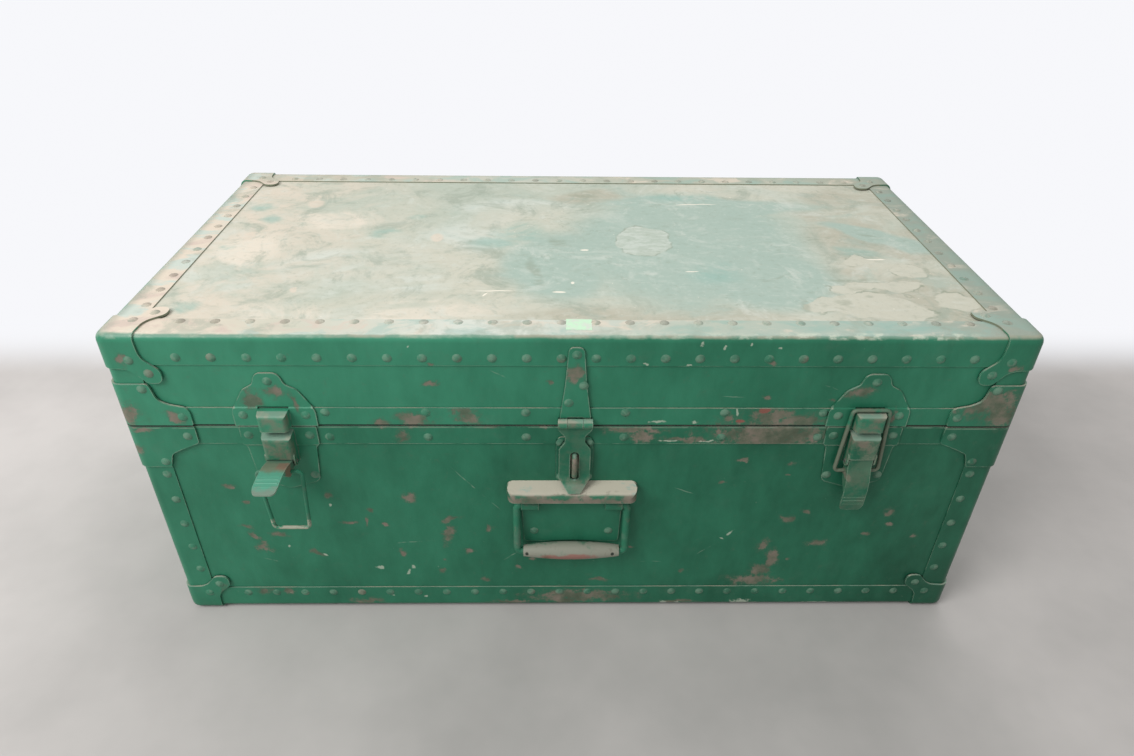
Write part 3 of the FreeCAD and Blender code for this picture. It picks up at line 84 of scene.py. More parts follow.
BRIGHT = (0.745, 0.675, 0.565, 1)
PEACH = (0.70, 0.61, 0.50, 1)
TAN = (0.46, 0.44, 0.345, 1)
WASH = (0.53, 0.615, 0.555, 1)
BLUSH = (0.60, 0.485, 0.42, 1)
MINT = (0.365, 0.475, 0.41, 1)
TEAL = (0.27, 0.455, 0.395, 1)
OLIVE = (0.245, 0.285, 0.205, 1)
MOSS = (0.335, 0.385, 0.31, 1)
SCRATCH = (0.86, 0.81, 0.69, 1)
END_GREEN = (0.225, 0.285, 0.235, 1)
END_PALE = (0.345, 0.385, 0.32, 1)
LEVER_TAN = (0.175, 0.215, 0.145, 1)
LEVER_RUST = (0.25, 0.155, 0.110, 1)
# Bright enamel with a painted sheen, for the open lever's tongue
LEVER_TEAL_WITH_SHEEN = (0.105, 0.345, 0.240, 1)
LEVER_TIP = (0.19, 0.26, 0.205, 1)
PAPER = (0.56, 0.80, 0.57, 1)
WOOD = (0.36, 0.24, 0.135, 1)
WOOD_DARK = (0.20, 0.125, 0.065, 1)
STEEL = (0.30, 0.285, 0.26, 1)
BAIL_BROWN = (0.15, 0.165, 0.12, 1)
GRIP_TAN = (0.30, 0.285, 0.235, 1)
CONCRETE_DARK = (0.40, 0.385, 0.37, 1)
CONCRETE = (0.62, 0.585, 0.565, 1)
BACKDROP = (0.80, 0.80, 0.82, 1)
BACKDROP_SEEN = (0.93, 0.935, 0.965, 1)

# Sheen of the enamel, and how deep a mark reaches into a surface, in metres
GLOSS = 0.26
MARK_DEPTH = 0.3

# Marks on the front, in millimetres and degrees: across, up, half width, half height, and a turn
BOARD_CHIPS = (
    (-155, 152, 4.5, 5, 20), (-193, 135, 2.4, 2.6), (-198, 122, 1.2, 5), (-215, 120, 7, 2),
    (-180, 117, 2.4, 2), (-117, 124, 6.5, 2.6, -20), (-120, 103, 4.5, 9, 12),
    (-101, 81, 3.6, 3.4), (-168, 79, 3.6, 3.4), (-126, 69, 2, 2), (-128, 54, 3, 2),
    (-250, 79, 6, 2.6, 30), (-303, 87, 6.5, 5), (-314, 115, 5, 2.2, 20),
    (-308, 102, 2.6, 7, -35), (-320, 167, 3.6, 2.2), (-305, 148, 3.2, 2.2), (-285, 105, 6, 2.6),
    (-229, 156, 2.6, 3.6), (-79, 112, 2.4, 3), (-101, 81, 4, 3), (-87, 41, 4.5, 2.4),
    (-52, 58, 3, 1.8), (112, 53, 2.4, 2.8), (30, 40, 8, 2.4), (142, 171, 2.4, 1.5),
    (156, 198, 3.2, 1.8), (59, 86, 2.5, 1.6), (-38, 70, 3, 2.2), (210, 124, 6, 3.8, 15),
    (225, 133, 3.6, 2.4, 20), (245, 92, 8, 3.6, -8), (308, 133, 4, 4.4, 25),
    (311, 117, 2.8, 2.4), (192, 88, 4.4, 7, 20), (203, 68, 4.4, 12), (193, 53, 9, 6),
    (187, 39, 19, 6.5), (220, 69, 2, 2), (340, 101, 3.4, 2.6), (292, 104, 2.8, 2),
    (203, 194, 3.2, 2.2), (157, 196, 2.2, 1.4), (201, 179, 2, 1.2),
)
BOARD_FLAKES = (
    (-192, 58, 4, 3.2), (-164, 52, 2, 6, 20), (-159, 59, 2, 4, -30), (-278, 88, 1.3, 1.8),
    (-243, 76, 2.4, 1.2, 40), (-229, 142, 1.6, 2.2), (157, 106, 1.6, 4.4, 40),
    (150, 98, 3, 1.2, 20),
)
BOARD_LINES = (
    (-159, 94, 30, 0.8, -4), (-88, 160, 42, 0.9, 50), (-297, 69, 12, 0.9, 18),
    (81, 66, 12, 0.9), (137, 85, 17, 0.8, -40), (107, 160, 14, 0.7, 20),
    (-60, 74, 10, 0.8, -35),
)
LID_CHIPS = ((169, 267, 4, 1.6, 20), (228, 266, 3.6, 1.6, 20), (-122, 281, 5, 3), (-21, 284, 2, 2))
LID_LINES = ((223, 278, 9, 0.8, 25), (147, 268, 24, 0.7, 2), (-61, 290, 14, 0.7, 30))
RIM_CHIPS = (
    (-169, 240, 6, 5), (-140, 244, 12, 6.5, 10), (-151, 227, 5, 6), (-93, 248, 11, 7, 30),
    (-74, 236, 8, 1.8), (-25, 237, 4, 1.6), (54, 234, 22, 3.6), (62, 226, 8, 5),
    (101, 222, 20, 2.6), (181, 227, 46, 17), (176, 248, 17, 8), (198, 243, 19, 5.5),
    (136, 247, 3, 4.4), (-347, 247, 6, 5), (-315, 25, 6, 4), (-290, 24, 4.6, 4.4),
    (-210, 10, 12, 2.8), (9, 17, 42, 7), (-3, 11, 26, 4.4), (-60, 8, 16, 2), (118, 8, 14, 2),
)
RIM_FLAKES = (
    (179, 6, 12, 5), (193, 4, 8, 2), (98, 5, 4, 3.4), (112, 5, 3, 2.8), (259, 5, 20, 1.3),
    (74, 242, 10, 1.3), (107, 242, 3, 1.8), (144, 253, 1.2, 6), (86, 221, 12, 1.1),
    (122, 221, 9, 1), (-183, 17, 2, 1.4), (-149, 17, 2, 1.6), (-287, 22, 2, 1.2),
)
RIM_REDS = ((168, 255, 5, 3), (148, 243, 4, 1.6))
EDGE_FLAKES = (
    (106, 322, 2, 2.6), (125, 319, 1.6, 1.8), (147, 322, 1.6, 2), (60, 302, 3, 1.2),
    (97, 301, 3, 1.4), (-138, 319, 1.4, 1.4), (172, 318, 1.6, 1.6), (192, 310, 1.6, 1.6),
)
EDGE_CHIPS = ((-380, 296, 6, 6), (-120, 303, 3, 1.5), (168, 303, 3, 1.5))
CAP_CHIPS = (
    (-386, 251, 8, 11), (-347, 248, 6.5, 5), (367, 262, 24, 12), (379, 250, 14, 10),
    (-379, 234, 8, 2), (-387, 212, 4, 5), (-376, 306, 4, 4), (-352, 24, 5, 8), (375, 300, 4, 3),
)
FITTING_CHIPS = (
    (-277, 266, 6.5, 7.5), (-256, 274, 7.5, 4.5, -10), (249, 275, 11, 4.5, -10),
    (1, 293, 7.5, 7), (-241, 262, 2, 8, -20), (258, 227, 6, 3), (282, 250, 2, 6),
)
GRIP_HOLES = ((-43, 93, 2.2, 2.4), (40, 93, 2.2, 2.4))
HOOD_CHIPS = ((-30, 160, 34, 8), (14, 160, 38, 7), (55, 163, 10, 7))
LEVER_CHIPS = ((252, 190, 3, 3),)
STAPLE_CHIPS = ((1.6, 196, 7, 15),)
GRIP_REDS = ((-2, 90, 24, 4),)

# Marks on the top, in the same units: across, back from the front, half width, half depth, a turn
TOP_CLOUDS = (
    (-213, 137, 80, 55), (-149, 108, 60, 35), (-109, 206, 70, 60), (-60, 295, 90, 40),
)
TOP_PALE = ((-170, 44, 150, 34), (-320, 170, 50, 60), (-250, 250, 50, 30))
TOP_TAN = (
    (326, 286, 90, 110), (305, 187, 80, 60), (58, 39, 150, 32), (305, 78, 110, 90),
    (19, 325, 50, 34), (-7, 192, 26, 24),
)
TOP_MINT = (
    (117, 187, 165, 165), (186, 108, 90, 80), (-11, 147, 70, 90), (325, 212, 60, 20, -30),
    (157, 296, 160, 40),
)
TOP_TEAL = (
    (-343, 284, 20, 18), (-321, 250, 20, 22), (-339, 107, 24, 18), (-338, 51, 22, 13),
    (-194, 213, 26, 24), (-166, 258, 18, 12), (-347, 178, 18, 12), (-51, 224, 42, 46),
    (-75, 191, 36, 24), (133, 322, 60, 26), (137, 124, 40, 40), (296, 167, 50, 18, -20),
)
TOP_PEACH_SPOTS = (
    (-332, 204, 6, 9), (-139, 203, 6, 9), (-253, 84, 3, 4), (-286, 295, 8, 10),
)
TOP_PEELED = (
    (259, 60, 42, 30), (286, 51, 40, 24), (258, 94, 26, 12), (295, 98, 34, 12),
    (348, 64, 24, 22), (222, 58, 20, 16), (325, 128, 24, 18), (283, 150, 18, 16),
)
TOP_SMUDGES = (
    (242, 70, 6, 17, 20), (255, 110, 16, 4), (285, 106, 18, 5, -18), (264, 90, 8, 5),
    (269, 76, 5, 2.6), (204, 56, 4, 14), (228, 55, 12, 4, -35), (-35, 122, 6, 34, 10),
    (18, 327, 16, 16), (-13, 192, 10, 11), (343, 131, 4, 9), (315, 215, 14, 4, -30),
)
TOP_SCRATCHES = (
    (-71, 84, 22, 1.2, 1), (-80, 77, 5, 1.1, 60), (-13, 82, 7, 2, 0), (144, 301, 29, 1.4, 4),
    (303, 155, 11, 2, 2), (0, 100, 2, 3), (13, 174, 5, 2.4), (115, 126, 8, 1.4),
)
TOP_RING = ((74, 197, 32, 40),)


class Coat:
    """One material, with short calls for its shader nodes."""

    def __init__(self, name):
        self.material = bpy.data.materials.new(name)
        self.material.use_nodes = True
        self.tree = self.material.node_tree
        self.shader = self.tree.nodes["Principled BSDF"]
        texture = self.add("ShaderNodeTexCoord")
        self.place = texture.outputs["Object"]
        self.normal = texture.outputs["Normal"]
        self.x, self.y, self.z = self.parts(self.place)
        self.nz = self.parts(self.normal)[2]

    def add(self, kind, **settings):
        node = self.tree.nodes.new(kind)
        for key, value in settings.items():
            setattr(node, key, value)
        return node

    def put(self, socket, value):
        if isinstance(value, bpy.types.NodeSocket):
            self.tree.links.new(value, socket)
        else:
            socket.default_value = value

    def parts(self, vector):
        split = self.add("ShaderNodeSeparateXYZ")
        self.put(split.inputs[0], vector)
        return split.outputs

    def math(self, operation, *values):
        node = self.add("ShaderNodeMath", operation=operation)
        for socket, value in zip(node.inputs, values):
            self.put(socket, value)
        return node.outputs[0]

    def plus(self, *values):
        total = values[0]
        for value in values[1:]:
            total = self.math("ADD", total, value)
        return total

    def times(self, *values):
        total = values[0]
        for value in values[1:]:
            total = self.math("MULTIPLY", total, value)
        return total

    def minus(self, a, b):
        return self.math("SUBTRACT", a, b)

    def most(self, values):
        """The largest of several values."""
        top = values[0]
        for value in values[1:]:
            top = self.math("MAXIMUM", top, value)
        return top

    def step(self, value, low, high):
        """Rises smoothly from 0 at low to 1 at high, or falls where low is above high."""
        node = self.add("ShaderNodeMapRange", interpolation_type="SMOOTHSTEP")
        backwards = low > high
        for socket, number in zip(node.inputs[1:5], (min(low, high), max(low, high),
                                                    float(backwards), float(not backwards))):
            socket.default_value = number
        self.put(node.inputs[0], value)
        return node.outputs[0]

    def near(self, value, middle, reach):
        """1 where a value is at the middle, and 0 beyond a reach to either side of it."""
        return self.step(self.math("ABSOLUTE", self.minus(value, middle)), reach, 0.0)

    def mix(self, share, a, b):
        node = self.add("ShaderNodeMix", data_type="RGBA")
        self.put(node.inputs[0], share)
        self.put(node.inputs[6], a)
        self.put(node.inputs[7], b)
        return node.outputs[2]

    def ramp(self, value, *stops):
        """A colour that passes through stops, each a place from 0 to 1 and a colour."""
        node = self.add("ShaderNodeValToRGB")
        marks = node.color_ramp.elements
        while len(marks) < len(stops):
            marks.new(0.5)
        for mark, (place, colour) in zip(marks, stops):
            mark.position = place
            mark.color = colour
        self.put(node.inputs[0], value)
        return node.outputs[0]

    def noise(self, scale, detail=4.0, rough=0.55, stretch=(1, 1, 1), shift=0.0, warp=0.0):
        """Noise from 0 to 1, with features of about one over the scale in metres."""
        mapping = self.add("ShaderNodeMapping")
        self.put(mapping.inputs["Vector"], self.place)
        mapping.inputs["Scale"].default_value = stretch
        mapping.inputs["Location"].default_value = (shift, shift * 0.7, shift * 1.3)
        node = self.add("ShaderNodeTexNoise")
        self.put(node.inputs["Vector"], mapping.outputs[0])
        node.inputs["Scale"].default_value = scale
        node.inputs["Detail"].default_value = detail
        node.inputs["Roughness"].default_value = rough
        node.inputs["Distortion"].default_value = warp
        return node.outputs["Fac"]

    def shaken(self, amount, scale):
        """The place moved about by noise, so that a mark's outline is ragged."""
        noise = self.add("ShaderNodeTexNoise")
        self.put(noise.inputs["Vector"], self.place)
        noise.inputs["Scale"].default_value = scale
        noise.inputs["Detail"].default_value = 4.0
        centred = self.add("ShaderNodeVectorMath", operation="SUBTRACT")
        self.put(centred.inputs[0], noise.outputs["Color"])
        centred.inputs[1].default_value = (0.5, 0.5, 0.5)
        small = self.add("ShaderNodeVectorMath", operation="SCALE")
        self.put(small.inputs[0], centred.outputs[0])
        small.inputs["Scale"].default_value = 2 * amount
        moved = self.add("ShaderNodeVectorMath", operation="ADD")
        self.put(moved.inputs[0], self.place)
        self.put(moved.inputs[1], small.outputs[0])
        return moved.outputs[0]

    def mark(self, place, centre, reach, turn=0.0, about="Y"):
        """Falls from 1 at a mark's centre to 0 at its reach along each axis."""
        mapping = self.add("ShaderNodeMapping", vector_type="TEXTURE")
        self.put(mapping.inputs["Vector"], place)
        mapping.inputs["Location"].default_value = centre
        mapping.inputs["Scale"].default_value = reach
        mapping.inputs["Rotation"].default_value["XYZ".index(about)] = math.radians(turn)
        ball = self.add("ShaderNodeTexGradient", gradient_type="SPHERICAL")
        self.put(ball.inputs[0], mapping.outputs[0])
        return ball.outputs["Fac"]

    def on_front(self, place, spots, grow=1.0):
        """Marks on the front: across, up, half width, half height in millimetres, and a turn."""
        return self.most([self.mark(place, (x * MM, FRONT, z * MM),
                                    (w * grow * MM, MARK_DEPTH, h * grow * MM), *turn)
                          for x, z, w, h, *turn in spots])

    def on_top(self, place, spots, grow=1.0):
        """Marks on the top: across, back from the front, the half sizes, and a turn."""
        return self.most([self.mark(place, (x * MM, FRONT + y * MM, LID_TOP),
                                    (w * grow * MM, h * grow * MM, MARK_DEPTH),
                                    *turn, about="Z")
                          for x, y, w, h, *turn in spots])

    def edges(self, radius):
        """1 on a sharp edge and 0 on a flat, within a radius."""
        rounded = self.add("ShaderNodeBevel", samples=4)
        rounded.inputs["Radius"].default_value = radius
        plain = self.add("ShaderNodeNewGeometry").outputs["True Normal"]
        dot = self.add("ShaderNodeVectorMath", operation="DOT_PRODUCT")
        self.put(dot.inputs[0], rounded.outputs[0])
        self.put(dot.inputs[1], plain)
        return self.step(dot.outputs["Value"], 0.992, 0.90)

    def crevices(self, distance):
        """1 in the open and 0 deep in a corner or a gap."""
        node = self.add("ShaderNodeAmbientOcclusion", samples=6)
        node.inputs["Distance"].default_value = distance
        return node.outputs["AO"]

    def soiled_and_shaded(self, colour, reach, clean, full, share, grime_and_shade=SHADE_AND_GRIME_DARK):
        """Grime and painted shade in corners and gaps, from none where they open to its share deep
        inside.
        """
        return self.mix(self.times(self.step(self.crevices(reach), clean, full), share),
                        colour, grime_and_shade)

    def rubbed(self, colour, reach, share):
        """Enamel rubbed pale along sharp edges, in places, which also stands as a painted highlight
        along them.
        """
        rub_and_highlight = self.times(self.edges(reach), self.step(self.noise(70, 3), 0.34, 0.56), share)
        return self.mix(rub_and_highlight, colour, PALE_EDGE)

    def bump(self, height, distance, under=None):
        node = self.add("ShaderNodeBump")
        node.inputs["Distance"].default_value = distance
        self.put(node.inputs["Height"], height)
        if under is not None:
            self.put(node.inputs["Normal"], under)
        return node.outputs[0]

    def finish(self, colour, roughness, normal=None, metallic=None):
        self.shader.inputs["Specular IOR Level"].default_value = GLOSS
        self.put(self.shader.inputs["Base Color"], colour)
        self.put(self.shader.inputs["Roughness"], roughness)
        if normal is not None:
            self.put(self.shader.inputs["Normal"], normal)
        if metallic is not None:
            self.put(self.shader.inputs["Metallic"], metallic)
        return self.material


def enamel(coat):
    """Green enamel with clouds and faint upright streaks, lighter on the lid and a little darker at
    the bottom. Lighter to the left and darker to the right is painted light, and darker at the
    lower right is painted shade.
    """
    cloud = coat.noise(5.5, 4, 0.55)
    fine = coat.noise(40, 5, 0.65, (1, 1, 0.5), 3.0)
    # Painted light: the enamel is lighter to the left and darker to the right
    across = coat.step(coat.x, -HALF_WIDTH, HALF_WIDTH + 50 * MM)
    on_lid = coat.step(coat.z, SEAM, SEAM + MM)
    low = coat.step(coat.z, 50 * MM, 0.0)
    streak = coat.noise(26, 6, 0.7, (1, 1, 0.35), 23.0, 0.4)
    # Painted shade: darker at the lower right
    shade = coat.times(coat.step(coat.x, 150 * MM, HALF_WIDTH),
                       coat.step(coat.z, 160 * MM, 30 * MM), -0.12)
    tone = coat.plus(coat.times(cloud, 0.60), coat.times(fine, 0.40), coat.times(streak, 0.36),
                     -0.19, coat.times(across, -0.33), coat.times(on_lid, 0.22),
                     coat.times(low, -0.05), shade)
    return coat.ramp(tone, (0.05, GREEN_DEEP), (0.42, GREEN), (0.80, GREEN_LIGHT))


def faded_top(coat):
    """The colours of the faded lid, with pale clouds and the dark outlines of dried water.

    It is peach and cream at the left, mint right of the middle, and tan at the right.
    """
    loose = coat.shaken(45 * MM, 7)
    broad = coat.noise(5, 6, 0.62, (0.8, 1.3, 1), 1.0, 0.9)
    wipe = coat.noise(15, 6, 0.68, (0.8, 1.05, 1), 5.0, 0.8)
    blotch = coat.noise(13, 5, 0.62, (1, 1.2, 1), 9.0, 0.8)
    colour = coat.mix(coat.step(broad, 0.36, 0.64), SAGE, CREAM)
    left = coat.times(coat.step(coat.x, -100 * MM, -360 * MM), coat.step(blotch, 0.36, 0.60))
    colour = coat.mix(coat.times(left, 0.85), colour, PEACH)
    pale = coat.times(coat.step(coat.on_top(loose, TOP_PALE), 0.04, 0.5),
                      coat.step(blotch, 0.34, 0.56))
    colour = coat.mix(coat.times(pale, 0.85), colour, BRIGHT)
    cloud = coat.times(coat.step(coat.on_top(loose, TOP_CLOUDS), 0.05, 0.6),
                       coat.step(wipe, 0.40, 0.60))
    colour = coat.mix(coat.times(cloud, 0.85), colour, CLOUD)
    tan = coat.times(coat.step(coat.on_top(loose, TOP_TAN), 0.05, 0.45),
                     coat.step(blotch, 0.30, 0.55))
    colour = coat.mix(coat.times(tan, 0.85), colour, TAN)
    mint = coat.step(coat.plus(coat.on_top(loose, TOP_MINT), coat.times(wipe, 0.30)), 0.14, 0.58)
    colour = coat.mix(coat.times(mint, 0.92), colour, MINT)
    mottle = coat.noise(19, 7, 0.70, (1.05, 0.95, 1), 33.0, 0.7)
    moss = coat.times(coat.step(mottle, 0.50, 0.66), coat.step(mint, 1.0, 0.3))
    colour = coat.mix(coat.times(moss, 0.72), colour, MOSS)
    colour = coat.mix(coat.times(coat.step(mottle, 0.46, 0.32), 0.50), colour, CLOUD)
    teal = coat.times(coat.step(coat.on_top(coat.shaken(14 * MM, 26), TOP_TEAL), 0.08, 0.75),
                      coat.step(wipe, 0.34, 0.56))
    colour = coat.mix(coat.times(teal, 0.62), colour, TEAL)
    green_wipe = coat.times(coat.step(wipe, 0.53, 0.68), coat.step(coat.x, -300 * MM, 50 * MM))
    colour = coat.mix(coat.times(green_wipe, 0.40), colour, MINT)
    pale_wipe = coat.step(wipe, 0.47, 0.33)
    colour = coat.mix(coat.times(pale_wipe, 0.28), colour, CLOUD)
    spots = coat.step(coat.on_top(coat.shaken(4 * MM, 60), TOP_PEACH_SPOTS, 1.6), 0.1, 0.5)
    colour = coat.mix(coat.times(spots, 0.8), colour, PEACH)
    dried = coat.noise(6.5, 5, 0.58, (0.8, 1.2, 1), 21.0, 1.1)
    lines = coat.most([coat.near(dried, level, 0.008) for level in (0.43, 0.50, 0.58)])
    lines = coat.times(lines, coat.step(blotch, 0.47, 0.62), coat.step(coat.x, -280 * MM, 150 * MM))
    return coat.mix(coat.times(lines, 0.42), colour, OLIVE)


def faded_binding(coat):
    """The colours of the bindings' upper faces, which turn to green at the right end."""
    wipe = coat.noise(18, 5, 0.65, (0.6, 1.3, 1), 5.0, 0.6)
    place = coat.plus(coat.times(coat.x, 1 / (2 * HALF_WIDTH)), 0.5,
                      coat.times(coat.minus(wipe, 0.5), 0.22))
    colour = coat.ramp(place, (0.06, PEACH), (0.20, CREAM), (0.40, CLOUD), (0.62, SAGE),
                       (0.86, MINT), (0.955, END_PALE))
    back = coat.step(coat.y, BACK - 50 * MM, BACK - 30 * MM)
    colour = coat.mix(coat.times(back, 0.5), colour, TAN)
    patches = coat.noise(30, 5, 0.62, (0.7, 1.2, 1), 13.0, 0.5)
    left = coat.step(coat.x, -50 * MM, -320 * MM)
    wash = coat.times(coat.step(patches, 0.48, 0.60), coat.plus(0.45, coat.times(left, 0.40)))
    colour = coat.mix(wash, colour, coat.mix(left, TEAL, WASH))
    colour = coat.mix(coat.times(coat.step(patches, 0.45, 0.33), 0.75), colour,
                      coat.mix(left, PEACH, BLUSH))
    right = coat.times(coat.step(coat.x, HALF_WIDTH - 45 * MM, HALF_WIDTH - 20 * MM),
                       coat.step(patches, 0.22, 0.40))
    colour = coat.mix(coat.times(right, 0.30), colour, END_GREEN)
    grime = coat.noise(26, 6, 0.68, (0.9, 0.9, 1), 37.0, 0.4)
    colour = coat.mix(coat.times(coat.step(grime, 0.50, 0.64), 0.50), colour, MOSS)
    outer = coat.step(coat.plus(coat.math("ABSOLUTE", coat.x), coat.times(grime, 6 * MM)),
                      HALF_WIDTH - 11 * MM, HALF_WIDTH - 1 * MM)
    outer = coat.math("MAXIMUM", outer, coat.times(coat.step(coat.y, BACK - 12 * MM, BACK - 2 * MM),
                                                   0.7))
    return coat.mix(coat.times(outer, 0.48), colour, END_GREEN)


def settled(coat, colour, ledge, above=None, on_lid=True, hood=False):
    """Fading on the lid's upper faces, and dust on lower faces that look up."""
    wander = coat.times(coat.minus(coat.noise(60, 4), 0.5), 0.24)
    up = coat.step(coat.plus(coat.nz, wander), 0.50, 0.86)
    dust = coat.mix(coat.step(coat.noise(28, 4, 0.6, shift=17.0), 0.44, 0.60),
                    LEDGE_GREEN, LEDGE_TAN)
    if hood:
        worn = coat.noise(55, 6, 0.7, (0.5, 1, 1), 29.0)
        dust = coat.ramp(worn, (0.34, TEAL_PALE), (0.42, HOOD_TAN), (0.58, HOOD_TAN), (0.68, BROWN))
    low = coat.times(up, ledge)
    if above is not None:
        low = coat.times(low, coat.step(coat.z, above, above + 2 * MM))
    colour = coat.mix(low, colour, dust)
    if on_lid:
        inner = coat.most([coat.math("ABSOLUTE", coat.times(coat.x, 1 / (HALF_WIDTH - 12 * MM))),
                           coat.math("ABSOLUTE", coat.times(coat.minus(coat.y, MID_Y),
                                                            2 / (BACK - FRONT - 24 * MM)))])
        inner = coat.times(coat.step(inner, 1.0, 0.995),
                           coat.step(coat.z, LID_TOP - 2.4 * MM, LID_TOP - 1.2 * MM))
        colour = coat.mix(coat.times(inner, 0.75), colour, TAN_DARK)
        top = coat.times(coat.step(coat.plus(coat.nz, wander), 0.84, 0.99),
                         coat.step(coat.z, LID_TOP - 9 * MM, LID_TOP - 5 * MM))
        colour = coat.mix(top, colour, faded_binding(coat))
        place = coat.times(coat.step(coat.y, FRONT + 10 * MM, FRONT + 5 * MM),
                           coat.step(coat.z, LID_TOP - 3.6 * MM, LID_TOP - 1.6 * MM),
                           coat.plus(0.25, coat.times(coat.step(coat.x, 0.0, 250 * MM), 0.65)),
                           coat.step(coat.x, HALF_WIDTH - 45 * MM, HALF_WIDTH - 75 * MM))
        flakes = coat.times(coat.step(coat.noise(75, 6, 0.7, (0.6, 1, 1)), 0.48, 0.60), place)
        colour = coat.mix(coat.times(flakes, 0.75), colour, FLAKE)
        return colour, coat.math("MAXIMUM", low, top)
    return colour, low


def chipped(coat, spots, chips):
    """1 where the paint is off: at listed places, and at random places for a share of chips.

    The second value is the dulled paint around them.
    """
    fray = coat.minus(coat.noise(120, 6, 0.72, shift=4.0), 0.5)
    value = coat.times(fray, 0.7)
    if chips:
        where = coat.noise(14, 4, 0.6, (1, 1, 1), 16.0)
        value = coat.plus(value, coat.times(coat.step(where, 0.54, 0.72), 2.4 * chips))
    if spots:
        marks = coat.on_front(coat.shaken(6 * MM, 70), spots, 2.1)
        value = coat.math("MAXIMUM", value, coat.plus(marks, coat.times(fray, 1.9)))
    return coat.step(value, 0.40, 0.74), coat.step(value, 0.12, 0.55)


